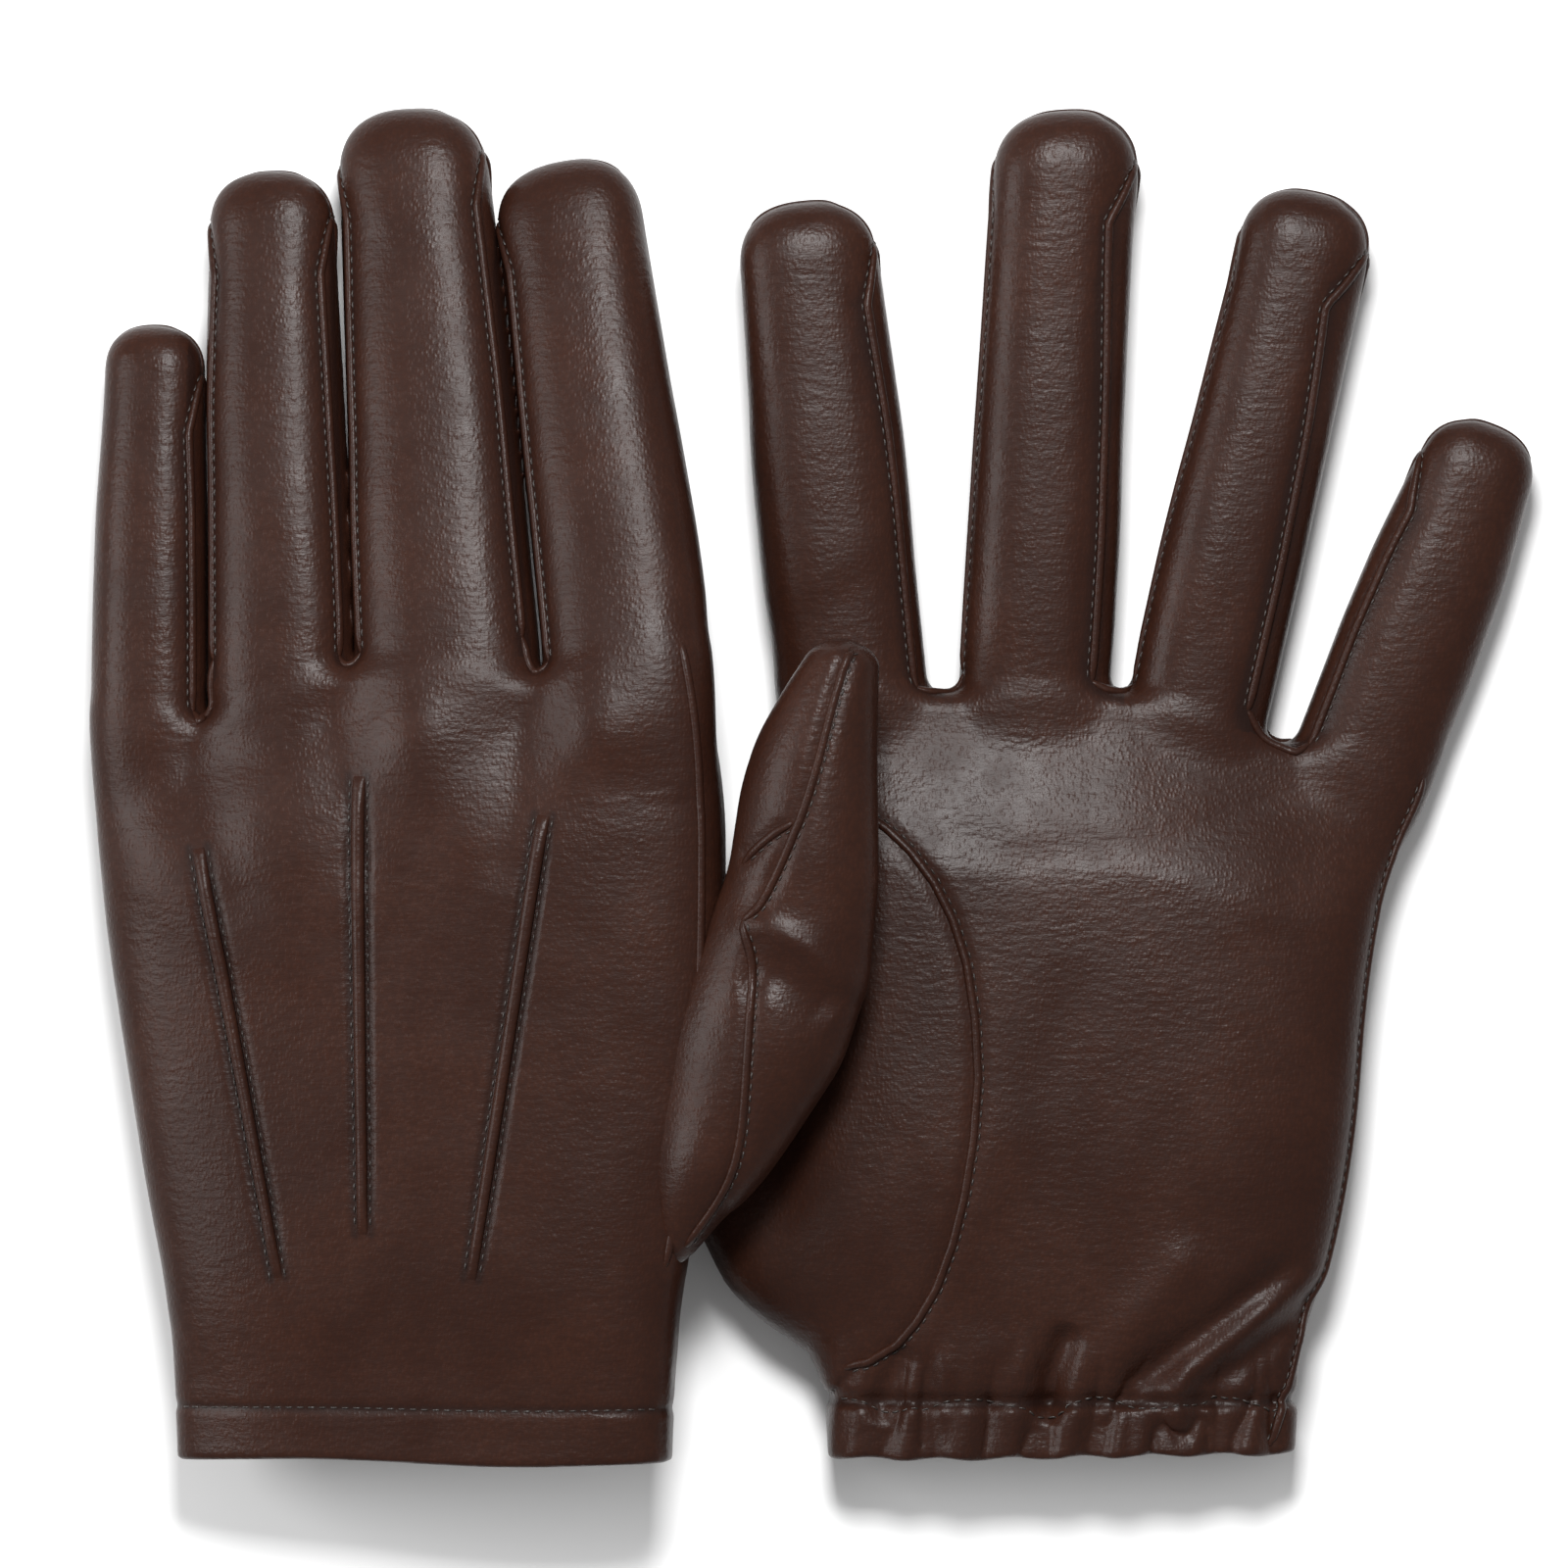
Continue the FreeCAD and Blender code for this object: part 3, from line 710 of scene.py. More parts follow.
    def relief(self, p):
        """Height in mm added to the smooth shape at points in the glove's frame."""
        y = p[:, 1]
        rise, wavelength = UNEVEN
        height = rise * ripples(p, wavelength, 3, (1.0, 1.6, 1.0))
        height += HEM_STEP * np.clip((HEM + 0.6 - y) / 0.9, 0.0, 1.0)
        if self.gathered:
            puffs = np.abs(ripples(p, PUFFS, 5, (1.0, 5.0, 3.0))) ** 0.7 - 0.55
            reach = np.clip((HEM + GATHER_REACH - y) / GATHER_REACH, 0.0, 1.0)
            height += self.gathered * (puffs * reach**1.5 - 0.5 * np.exp(-(((y - HEM) / 1.4) ** 2)))
        depth, width = HEM_VALLEY
        height -= depth * np.exp(-(((y - HEM_ROW) / width) ** 2))
        over = p[:, 2] - self.hand.at(y)[1]
        shown = np.sign(over) == self.face_up
        fade = np.clip(np.abs(over[shown]) / FOLD_FADE, 0.0, 1.0)
        height[shown] += folds_height(p[shown], self.folds) * fade
        for (x, y0), radius, rise in self.bumps:
            gap = np.hypot(p[:, 0] - x, p[:, 1] - y0) / radius
            height += shown * rise * np.exp(-(gap**2))
        height[shown] += folds_height(p[shown], [(path, *THUMB_VALLEY) for path in self.thumb_seams])
        on_back = over < 0
        height[on_back] += folds_height(p[on_back], [(row, *ROW_VALLEY) for row in self.point_rows])
        return height


# Folds and bumps of the leather, in the glove's XY plane
PALM_FOLDS = [
    (((-34, 6), (-32.5, 12), (-29, 21)), 2.4, -1.7),
    (((-3, 6), (-2, 15), (1, 25)), 2.6, -2.3),
    (((8, 10), (20, 19), (36, 31), (44, 38)), 3.0, -1.9),
    (((21, 10), (33, 18), (50, 32)), 2.8, -1.9),
    (((15, 8), (27, 18), (42, 31)), 4.0, 1.2),
    (((3, 12), (12, 24), (26, 40)), 5.0, 1.1),
    (((-24, 14), (-15, 18), (-6, 14)), 6.0, 1.0),
    (((-14, 30), (-4, 58), (2, 92)), 6.0, -0.4),
    (((-30, 118), (-8, 110), (20, 113), (48, 124)), 4.0, -0.35),
]
BACK_FOLDS = [
    (((-22, 140), (-20, 122), (-16, 104)), 5.0, -0.6),
    (((14, 142), (12, 122), (8, 104)), 5.0, -0.6),
    (((40, 132), (36, 114), (30, 98)), 5.0, -0.5),
    (((-58, 99), (-66, 98), (-74, 94), (-83, 85)), 2.6, 0.9),
    (((-60, 90), (-68, 89), (-78, 82)), 4.0, -1.1),
]
PALM_BUMPS = [((-36.0, 50.0), 26.0, 1.8), ((32.0, 60.0), 30.0, 1.2)]
BACK_BUMPS = [((-34.0, 133.0), 10.0, 2.0), ((-1.0, 132.0), 10.0, 2.4), ((26.0, 124.0), 10.0, 0.9),
              ((48.0, 114.0), 10.0, 0.5)]

# How far a fourchette is rolled up to the palm, or down from it
PALM_LIFTS = {("index", 1): 1.0, ("middle", -1): -3.0, ("middle", 1): 2.0, ("ring", -1): -3.0,
              ("ring", 1): 2.4, ("little", -1): 0.8}

# Paths of the thumbs' seams, in the glove's XY plane
PALM_THUMB_SEAMS = [
    [(-44, 120.5), (-38.5, 119), (-32.6, 115.4), (-24, 105.5), (-18, 90.5), (-16, 69.5), (-18.5, 48.5),
     (-23.5, 31.5), (-31.3, 20.2), (-41, 15.6)],
]
BACK_THUMB_SEAMS = [
    [(-83.2, 154.6), (-78.3, 140.4), (-74.1, 124.7), (-70.4, 113.7), (-64.6, 101.9), (-61.5, 98.9)],
    [(-61.5, 98.9), (-62.9, 90), (-62.2, 75.9), (-59.7, 54.9), (-53.4, 37.2)],
    [(-70.4, 117.0), (-59.4, 109.9)],
]


def gloves():
    palm = Glove(
        "palm_glove", face_up=1, thumb_depth=10.0, thumb_round=2.5, thumb_joined=True,
        folds=PALM_FOLDS, bumps=PALM_BUMPS, lifts=PALM_LIFTS,
        wave=(0.3, 13.0), thumb_seams=PALM_THUMB_SEAMS, spread_most=0.0, gathered=1.9,
    )
    back = Glove(
        "back_glove", face_up=-1, thumb_depth=4.0, thumb_round=1.9, thumb_joined=False,
        folds=BACK_FOLDS, bumps=BACK_BUMPS, lifts={}, wave=(0.25, 60.0), thumb_seams=BACK_THUMB_SEAMS,
        spread_most=2.4, gathered=0.0,
    )
    return palm, back


# ---------------------------------------------------------------- meshes


def vertex_normals(points, quads):
    a, b, c, d = (points[quads[:, i]] for i in range(4))
    face = np.cross(c - a, d - b)
    total = np.zeros_like(points)
    for i in range(4):
        for axis in range(3):
            total[:, axis] += np.bincount(quads[:, i], face[:, axis], len(points))
    return total / np.maximum(np.linalg.norm(total, axis=1, keepdims=True), 1e-12)


def add_mesh(name, points, faces, material, normals=None, grain=None, seam=None):
    """An object from points in row millimetres and an array of faces with the same corner count."""
    points = np.array(points, float)
    points[:, 2] = np.maximum(points[:, 2], 0.1)  # the table flattens what lies on it
    mesh = bpy.data.meshes.new(name)
    corners = faces.shape[1]
    mesh.vertices.add(len(points))
    mesh.vertices.foreach_set("co", (points * MM).astype(np.float32).ravel())
    mesh.loops.add(faces.size)
    mesh.loops.foreach_set("vertex_index", faces.astype(np.int32).ravel())
    mesh.polygons.add(len(faces))
    mesh.polygons.foreach_set("loop_start", np.arange(0, faces.size, corners, dtype=np.int32))
    mesh.polygons.foreach_set("use_smooth", np.ones(len(faces), bool))
    mesh.update(calc_edges=True)
    if grain is not None:
        mesh.attributes.new("grain", "FLOAT_VECTOR", "POINT").data.foreach_set(
            "vector", grain.astype(np.float32).ravel())
    if seam is not None:
        mesh.attributes.new("seam", "FLOAT", "POINT").data.foreach_set(
            "value", seam.astype(np.float32))
    if normals is not None:
        mesh.normals_split_custom_set_from_vertices(normals.astype(np.float32))
    mesh.materials.append(material)
    made = bpy.data.objects.new(name, mesh)
    bpy.context.scene.collection.objects.link(made)
    return made


def part_of(points, faces, keep, *arrays):
    """The kept faces with only the points they use, and those points' rows of other arrays."""
    faces = faces[keep]
    used, renumbered = np.unique(faces, return_inverse=True)
    return points[used], renumbered.reshape(faces.shape), *[a[used] for a in arrays]


def spread(path):
    """Evenly spaced points along a path."""
    path = np.asarray(path, float)
    gaps = np.linalg.norm(np.diff(path, axis=0), axis=1)
    done = np.concatenate([[0.0], np.cumsum(gaps)])
    at = np.linspace(0.0, done[-1], max(3, int(done[-1] / PATH_PITCH) + 1))
    return np.stack([np.interp(at, done, path[:, i]) for i in range(3)], axis=-1)


def rounded_path(points, count=40):
    """A smooth curve through a few points."""
    p = np.asarray(points, float)
    p = np.concatenate([[2 * p[0] - p[1]], p, [2 * p[-1] - p[-2]]])
    made = []
    for a, b, c, d in zip(p, p[1:], p[2:], p[3:]):
        for t in np.linspace(0.0, 1.0, max(2, count // (len(p) - 3)), endpoint=False):
            made.append(0.5 * (2 * b + (c - a) * t + (2 * a - 5 * b + 4 * c - d) * t**2
                               + (3 * b - a - 3 * c + d) * t**3))
    return np.array([*made, p[-2]])


def tube_faces(rings, sides, first=0):
    """The quads of a tube whose points are listed ring after ring, from a first point."""
    start = first + sides * np.arange(rings - 1)[:, None]
    a = np.arange(sides)
    b = (a + 1) % sides
    return np.stack([start + a, start + b, start + sides + b, start + sides + a], axis=-1).reshape(-1, 4)


def strip(path, normals, width, height, taper=3.0, narrow=0.6):
    """A raised, rounded strip along a path on the leather, lower and narrower at its ends."""
    along = np.gradient(path, axis=0)
    along /= np.maximum(np.linalg.norm(along, axis=1, keepdims=True), 1e-9)
    across = np.cross(normals, along)
    across /= np.maximum(np.linalg.norm(across, axis=1, keepdims=True), 1e-9)
    count = len(path)
    run = np.minimum(np.arange(count), np.arange(count)[::-1]) * np.linalg.norm(path[1] - path[0])
    size = np.sqrt(np.clip(run / taper, 0.0, 1.0))[:, None]
    around = []
    for angle in np.linspace(0.0, math.pi, 7):
        x, z = math.cos(angle) * width / 2, math.sin(angle) * height
        sideways = across * x * (1.0 - narrow + narrow * size)
        around.append(path + sideways + normals * (z * size - LIP_SINK * (z < 0.1)))
    rings = np.stack(around, axis=1)
    return rings.reshape(-1, 3), tube_faces(count, rings.shape[1])


def stitches(path, normals):
    """A row of sewn stitches along a path on the leather, each dipping in at its ends."""
    gaps = np.linalg.norm(np.diff(path, axis=0), axis=1)
    done = np.concatenate([[0.0], np.cumsum(gaps)])
    points, faces = [], []
    rise = np.array([-1.2, -0.1, 0.55, -0.1, -1.2]) * THREAD
    size = np.array([0.5, 0.95, 1.0, 0.95, 0.5]) * THREAD
    for start in np.arange(STITCH_PITCH * 0.3, done[-1] - STITCH_LENGTH, STITCH_PITCH):
        at = start + STITCH_LENGTH * np.array([0.0, 0.12, 0.5, 0.88, 1.0])
        spine = np.stack([np.interp(at, done, path[:, i]) for i in range(3)], axis=-1)
        normal = np.stack([np.interp(at, done, normals[:, i]) for i in range(3)], axis=-1)
        along = unit(spine[-1] - spine[0])
        across = np.cross(normal, along)
        faces.append(tube_faces(len(spine), 6, len(points)))
        for centre, n, c, up, r in zip(spine, normal, across, rise, size):
            for k in range(6):
                angle = k * math.pi / 3
                points.append(centre + n * (up + r * math.sin(angle)) + c * r * math.cos(angle))
    return np.array(points), np.concatenate(faces)


def joined(meshes):
    """Several (points, faces) as one."""
    points, faces, count = [], [], 0
    for p, f in meshes:
        points.append(p)
        faces.append(f + count)
        count += len(p)
    return np.concatenate(points), np.concatenate(faces)


def bar_ends(glove, node):
    """The two ends, in the glove's frame, of each separate bar of a CAD node."""
    points, edges = cad_mesh([node])
    points = glove.axes.into(points)
    place = np.unique(points.round(2), axis=0, return_inverse=True)[1].ravel()
    label = np.arange(len(points))
    pairs = place[edges]
    for _ in range(BAR_ROUNDS):
        lowest = label[pairs].min(axis=1)
        np.minimum.at(label, pairs[:, 0], lowest)
        np.minimum.at(label, pairs[:, 1], lowest)
    ends = []
    for mark in np.unique(label[place]):
        bar = points[label[place] == mark]
        y0, y1 = bar[:, 1].min(), bar[:, 1].max()
        ends.append([bar[np.abs(bar[:, 1] - y) < BAR_END].mean(0) for y in (y1, y0)])
    return ends


# ---------------------------------------------------------------- building a glove


class Builder:
    """Makes one glove's pieces, hangs the hand's pieces on the glove's body and hides the CAD nodes they stand
    for.
    """

    def __init__(self, glove, materials):
        self.glove = glove
        self.materials = materials
        self.skin = glove.make_skin()
        self.thumb_skin = self.skin if glove.thumb_joined else glove.make_thumb_skin()

    def name(self, rest):
        return f"{self.glove.name}_{rest}"

    def finish_piece(self, made, nodes=(), digit=None):
        """Hang a piece of the hand on the glove's body, or bake the transform of a digit's piece, and hide the CAD
        nodes it stands for.
        """
        body = self.glove.name
        if digit is None:
            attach(made, body)
        else:
            start, end = (self.glove.axes.out(digit.axes.out(np.array([0.0, y, 0.0])))
                          for y in (digit.start, digit.end))
            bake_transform(made)
        if nodes:
            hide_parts(*nodes)

    # ------------------------------------------------ the leather and the lining

    def cuff_edge(self, x):
        height, wavelength = self.glove.wave
        return height * np.sin(2 * math.pi * x / wavelength) + 0.4 * np.sin(x / 17.0)

    def wall(self, skin, y, x):
        """The field of the leather itself, hollow and open at the cuff."""
        hem = np.clip((HEM + 2.0 - y) / 3.0, 0.0, 1.0)
        thick = WALL + (HEM_WALL - WALL) * hem * hem * (3.0 - 2.0 * hem)
        hollow = smooth_max(skin.d, -(skin.d + thick[None, :, None]), 0.6)
        edge = self.cuff_edge(x)[:, None] - y[None, :]
        return smooth_max(hollow, edge[:, :, None], EDGE_ROUND).astype(np.float32)

    def leather_mesh(self, skin):
        field = self.wall(skin, skin.axis_points(1), skin.axis_points(0))
        points, quads = polygons(field, skin.low)
        normals = vertex_normals(points, quads)
        slope = (normals * skin.normal(points)).sum(1).mean()
        if slope < 0:
            quads, normals = quads[:, ::-1], -normals
        return points, quads, normals

    def build_leather(self):
        glove = self.glove
        mesh = self.leather_mesh(self.skin)
        points, quads, _ = mesh
        centres = points[quads].mean(axis=1)
        keep = np.ones(len(quads), bool)
        if not glove.thumb_joined:
            keep = self.thumb_skin.sample(centres) > -WALL * 1.2
        inside = self.skin.sample(centres) < -0.5 * WALL
        digits = glove.fingers + [glove.thumb] * glove.thumb_joined
        owner = np.full(len(quads), -1)
        closest = np.full(len(quads), 1.3)
        for i, digit in enumerate(digits):
            q = digit.axes.into(centres)
            cx, _, half_x, _ = digit.sections(q[:, 1])
            share = np.abs(q[:, 0] - cx) / half_x
            mine = (q[:, 1] > digit.start) & (share < closest)
            closest[mine] = share[mine]
            owner[mine] = i
        hem = (centres[:, 1] < HEM) & (owner < 0)
        self.put("cuff_hem", hem & keep, mesh, "leather")
        hand = (owner < 0) & ~hem & keep
        above = centres[:, 2] > self.middle(centres)
        if glove.thumb_joined:
            base = hand & ~inside & self.in_thumb_base(centres)
            self.put("thumb_base", base, mesh, "leather")
            hand &= ~base
        self.put("palm_leather", hand & ~inside & above, mesh, "leather")
        self.put("back_leather", hand & ~inside & ~above, mesh, "leather")
        self.put("lining", hand & inside, mesh, "lining")
        for i, digit in enumerate(digits):
            self.build_digit(digit, (owner == i) & keep, inside, centres, mesh)

    def in_thumb_base(self, p):
        """Which points are within the seam of the set-in thumb, on the thumb's side of it."""
        path = self.glove.thumb_seams[0]
        order = np.argsort(path[:, 1])
        edge = np.interp(p[:, 1], path[order, 1], path[order, 0], left=-999.0, right=-999.0)
        cx, _, half_x, _ = self.glove.hand.at(p[:, 1])
        on_palm = p[:, 2] > self.middle(p)
        return p[:, 0] < np.where(on_palm, edge, np.minimum(edge, cx - half_x + 4.0))

    def middle(self, p):
        """Height of the line where the palm leather meets the back leather."""
        return self.seam_heights(p[:, 1])

    def seam_heights(self, y):
        _, cz, _, half_z = self.glove.hand.at(y)
        near_wrist = np.clip((WRIST - y) / WRIST, 0.0, 1.0)
        return cz + SIDE_SEAM + (0.72 * half_z - SIDE_SEAM) * near_wrist

    def build_digit(self, digit, mine, inside, centres, mesh):
        """A digit's leather, with its fourchettes, and its lining."""
        q = digit.axes.into(centres)
        skin = mine & ~inside
        for side in digit.sides:
            low, high = (digit.seam_height(side, face, q[:, 1]) for face in (-1, 1))
            between = (q[:, 2] > low) & (q[:, 2] < high) & (side * q[:, 0] > 0)
            between &= q[:, 1] < digit.length - TIP_SEAM
            self.put(f"{digit.name}_fourchette_{SIDE_WORDS[side]}", skin & between, mesh, "leather", digit)
            skin &= ~between
        above = q[:, 2] > digit.sections(q[:, 1])[1]
        self.put(f"{digit.name}_palm_side", skin & above, mesh, "leather", digit)
        self.put(f"{digit.name}_back_side", skin & ~above, mesh, "leather", digit)
        self.put(f"{digit.name}_lining", mine & inside, mesh, "lining", digit)

    def build_thumb(self):
        """The set-in thumb that has a skin of its own, cut off where it enters the hand."""
        thumb = self.glove.thumb
        mesh = self.leather_mesh(self.thumb_skin)
        points, quads, _ = mesh
        centres = points[quads].mean(axis=1)
        inside = self.thumb_skin.sample(centres) < -0.5 * WALL
        keep = self.skin.sample(centres) > np.where(inside, -0.3, -0.7) * WALL
        beyond = thumb.axes.into(centres)[:, 1] > thumb.start
        base = keep & ~beyond
        self.put("thumb_base", base & ~inside, mesh, "leather")
        self.put("thumb_base_lining", base & inside, mesh, "lining")
        self.build_digit(thumb, keep & beyond, inside, centres, mesh)

    def put(self, rest, keep, mesh, material, digit=None):
        """Make the piece of leather or lining that the kept faces of a mesh form."""
        points, quads, normals = mesh
        p, faces, n = part_of(points, quads, keep, normals)
        # The seam distance, to the fingers' seams, the hem row and the rows beside the points, sets the leather's
        # painted shade in its seams.
        seam = np.full(len(p), FAR)
        for d in self.glove.fingers:
            q = d.axes.into(p)
            near = (q[:, 1] > d.start - 4.0) & (np.abs(q[:, 0]) < d.sections(q[:, 1])[2] + 3.0)
            seam[near] = np.minimum(seam[near], d.seam_distance(q[near]))
        seam = np.minimum(seam, np.abs(p[:, 1] - HEM_ROW) + 0.4)
        for row in self.glove.point_rows:
            gap = path_distance(p, row)[0] + 0.3
            on = (p[:, 2] < self.middle(p)) & (gap < seam)
            seam[on] = gap[on]
        axes = self.glove.axes
        node = self.name(rest)
        made = add_mesh(f"{node}_skin", axes.out(p), faces, self.materials[material],
                        n @ axes.basis.T, p + GRAIN_SHIFT[self.glove.name], seam)
        nodes = [node] if node in frame["nodes"] else []
        self.finish_piece(made, nodes, digit)

    # ------------------------------------------------ seams, points and thread

    def on_leather(self, path, skin=None):
        """A path laid onto the leather, with the normal at each of its points."""
        skin = skin or self.skin
        laid = skin.onto(spread(path))
        return laid, skin.normal(laid)

    def add_trim(self, rest, meshes, material, nodes=(), digit=None):
        points, faces = joined(meshes)
        made = add_mesh(self.name(rest), self.glove.axes.out(points), faces, self.materials[material],
                        grain=points + GRAIN_SHIFT[self.glove.name], seam=np.full(len(points), FAR))
        self.finish_piece(made, nodes, digit)

    def add_split_trim(self, names, meshes, material, digit):
        """Trim that crosses onto a digit, as a piece on the hand and a piece on the digit."""
        points, faces = joined(meshes)
        beyond = digit.axes.into(points[faces].mean(axis=1))[:, 1] > digit.start
        for name, keep, bends in ((names[0], ~beyond, None), (names[1], beyond, digit)):
            if keep.any():
                self.add_trim(name, [part_of(points, faces, keep)], material, (), bends)

    def sew(self, path, beside, skin=None):
        """A row of stitches beside a path, at one distance or from one to another."""
        laid, normals = self.on_leather(path, skin)
        if np.any(beside):
            beside = np.linspace(*np.broadcast_to(beside, 2), len(laid))[:, None]
            across = np.cross(normals, np.gradient(laid, axis=0))
            across /= np.maximum(np.linalg.norm(across, axis=1, keepdims=True), 1e-9)
            skin = skin or self.skin
            laid = skin.onto(laid + across * beside)
            normals = skin.normal(laid)
        return stitches(laid, normals)

    def lip(self, path, skin=None, size=LIP):
        laid, normals = self.on_leather(path, skin)
        return strip(laid, normals, *size)

    def build_finger_seams(self):
        for digit in self.glove.fingers:
            lips, rows = [], []
            for side in digit.sides:
                for face in (1, -1):
                    path = digit.seam_path(side, face)
                    lips.append(self.lip(path))
                    rows.append(self.sew(path, side * face * STITCH_BESIDE))
            lips.append(self.lip(digit.tip_path(), size=TIP_LIP))
            self.add_trim(f"{digit.name}_seam_lips", lips, "leather", (), digit)
            self.add_trim(f"{digit.name}_seam_thread", rows, "thread", (), digit)

    def crotch_paths(self):
        """The seams of each fourchette round the crotch between two fingers."""
        glove = self.glove
        for (x, y), a, b in zip(glove.crotches, glove.fingers, glove.fingers[1:]):
            for face in (1, -1):
                left = a.seam_path(1, face)[0]
                right = b.seam_path(-1, face)[0]
                low = np.array([x, y - 1.0, (left[2] + right[2]) / 2])
                yield rounded_path([left, (left + low) / 2 + (0, -0.6, 0), low,
                                    (right + low) / 2 + (0, -0.6, 0), right])

    def side_path(self):
        """The seam down the little finger's edge of the hand."""
        glove = self.glove
        y = np.linspace(2.0, glove.crotches[-1][1] - 6.0, 70)
        cx, cz, half_x, half_z = glove.hand.at(y)
        height = self.seam_heights(y)
        x = cx + half_x * outline((height - cz) / half_z)
        return np.stack([x, y, height], axis=-1)

    def index_edge_path(self):
        """The seam down the forefinger's edge, a little way round to the face that shows."""
        glove = self.glove
        y = np.linspace(36.0, glove.crotches[0][1] + 6.0, 70)
        cx, cz, half_x, half_z = glove.hand.at(y)
        x = cx - half_x * outline(EDGE_SEAM)
        return np.stack([x, y, cz + glove.face_up * EDGE_SEAM * half_z], axis=-1)

    def build_hand_seams(self):
        paths = [*self.crotch_paths(), self.side_path()]
        if not self.glove.thumb_joined:
            paths.append(self.index_edge_path())
        self.add_trim("hand_seam_lips", [self.lip(p) for p in paths], "leather")
        self.add_trim("hand_seam_thread", [self.sew(self.side_path(), 1.0)], "thread")

    def build_thumb_seams(self):
        """The set-in thumb's seams, each in two where the thumb starts to bend."""
        paths = []
        for path in self.glove.thumb_seams:
            height = np.full((len(path), 1), self.glove.face_up * 11.0)
            paths.append(self.on_leather(np.hstack([path, height]), self.thumb_skin)[0])
        lips = [self.lip(p, self.thumb_skin) for p in paths]
        rows = [self.sew(p, STITCH_BESIDE, self.thumb_skin) for p in paths]
        thumb = self.glove.thumb
        self.add_split_trim(("thumb_base_seam_lips", "thumb_seam_lips"), lips, "leather", thumb)
        self.add_split_trim(("thumb_base_seam_thread", "thumb_seam_thread"), rows, "thread", thumb)

    def build_points(self):
        height = POINT_HEIGHT if self.glove.face_up < 0 else HIDDEN_POINT_HEIGHT
        ridges, rows = [], []
        for a, b in self.glove.point_ends:
            laid, normals = self.on_leather(np.linspace(a, b, 30))
            widths = np.linspace(*POINT_WIDTHS, len(laid))[:, None]
            ridges.append(strip(laid, normals, widths, height, taper=7.0, narrow=0.1))
            for side in (1, -1):
                rows.append(self.sew(laid, side * (np.array(POINT_WIDTHS) / 2 + POINT_ROW)))
        self.add_trim("points_ridges", ridges, "leather", [self.name("points")])
        self.add_trim("point_thread_stitches", rows, "thread", [self.name("point_thread")])

    def build_hem_thread(self):
        x = np.linspace(-HEM_SIDE, HEM_SIDE, 90)
        cx, cz, half_x, half_z = self.glove.hand.at(HEM - 1.0)
        height, phase = HEM_WANDER[self.glove.gathered > 0.0]
        y = HEM_ROW + height * np.sin(x / HEM_SIDE * phase)
        rows = []
        for face in (1, -1):
            z = cz + face * half_z * outline(np.abs(x))
            rows.append(self.sew(np.stack([cx + half_x * x, y, z], axis=-1), 0.0))
        self.add_trim("hem_thread_stitches", rows, "thread", [self.name("hem_thread")])

    def build_elastic(self):
        """The ribbed elastic inside the turned-in hem."""
        points, _ = cad_mesh([self.name("wrist_elastic")])
        local = self.glove.axes.into(points)
        lo, hi = local.min(0), local.max(0)
        x = np.linspace(lo[0], hi[0], 160)
        y = np.linspace(lo[1], hi[1], 12)
        gx, gy = np.meshgrid(x, y, indexing="ij")
        flat = np.stack([gx, gy, np.full_like(gx, hi[2] + 1.0)], axis=-1).reshape(-1, 3)
        outer = self.skin.onto(flat)
        normals = self.skin.normal(outer)
        rib = 0.1 * np.sin(gx * 2 * math.pi / 1.6).reshape(-1, 1)
        top = outer - normals * (ELASTIC_DEPTH - rib)
        under = outer - normals * (ELASTIC_DEPTH + ELASTIC_THICK - rib)
        n, m = gx.shape
        index = np.arange(n * m).reshape(n, m)
        quads = np.stack([index[:-1, :-1], index[1:, :-1], index[1:, 1:], index[:-1, 1:]], axis=-1)
        quads = quads.reshape(-1, 4)
        rim = np.concatenate([index[:, 0], index[-1, 1:], index[-2::-1, -1], index[0, -2:0:-1]])
        after = np.roll(rim, -1)
        walls = np.stack([rim, rim + n * m, after + n * m, after], axis=-1)
        points = np.concatenate([top, under])
        faces = np.concatenate([quads, quads[:, ::-1] + n * m, walls])
        self.add_trim("wrist_elastic_band", [(points, faces)], "elastic", [self.name("wrist_elastic")])

    def build(self):
        self.build_leather()
        if not self.glove.thumb_joined:
            self.build_thumb()
        self.build_finger_seams()
        self.build_thumb_seams()
        self.build_hand_seams()
        self.build_points()
        self.build_hem_thread()
        self.build_elastic()


# ---------------------------------------------------------------- materials


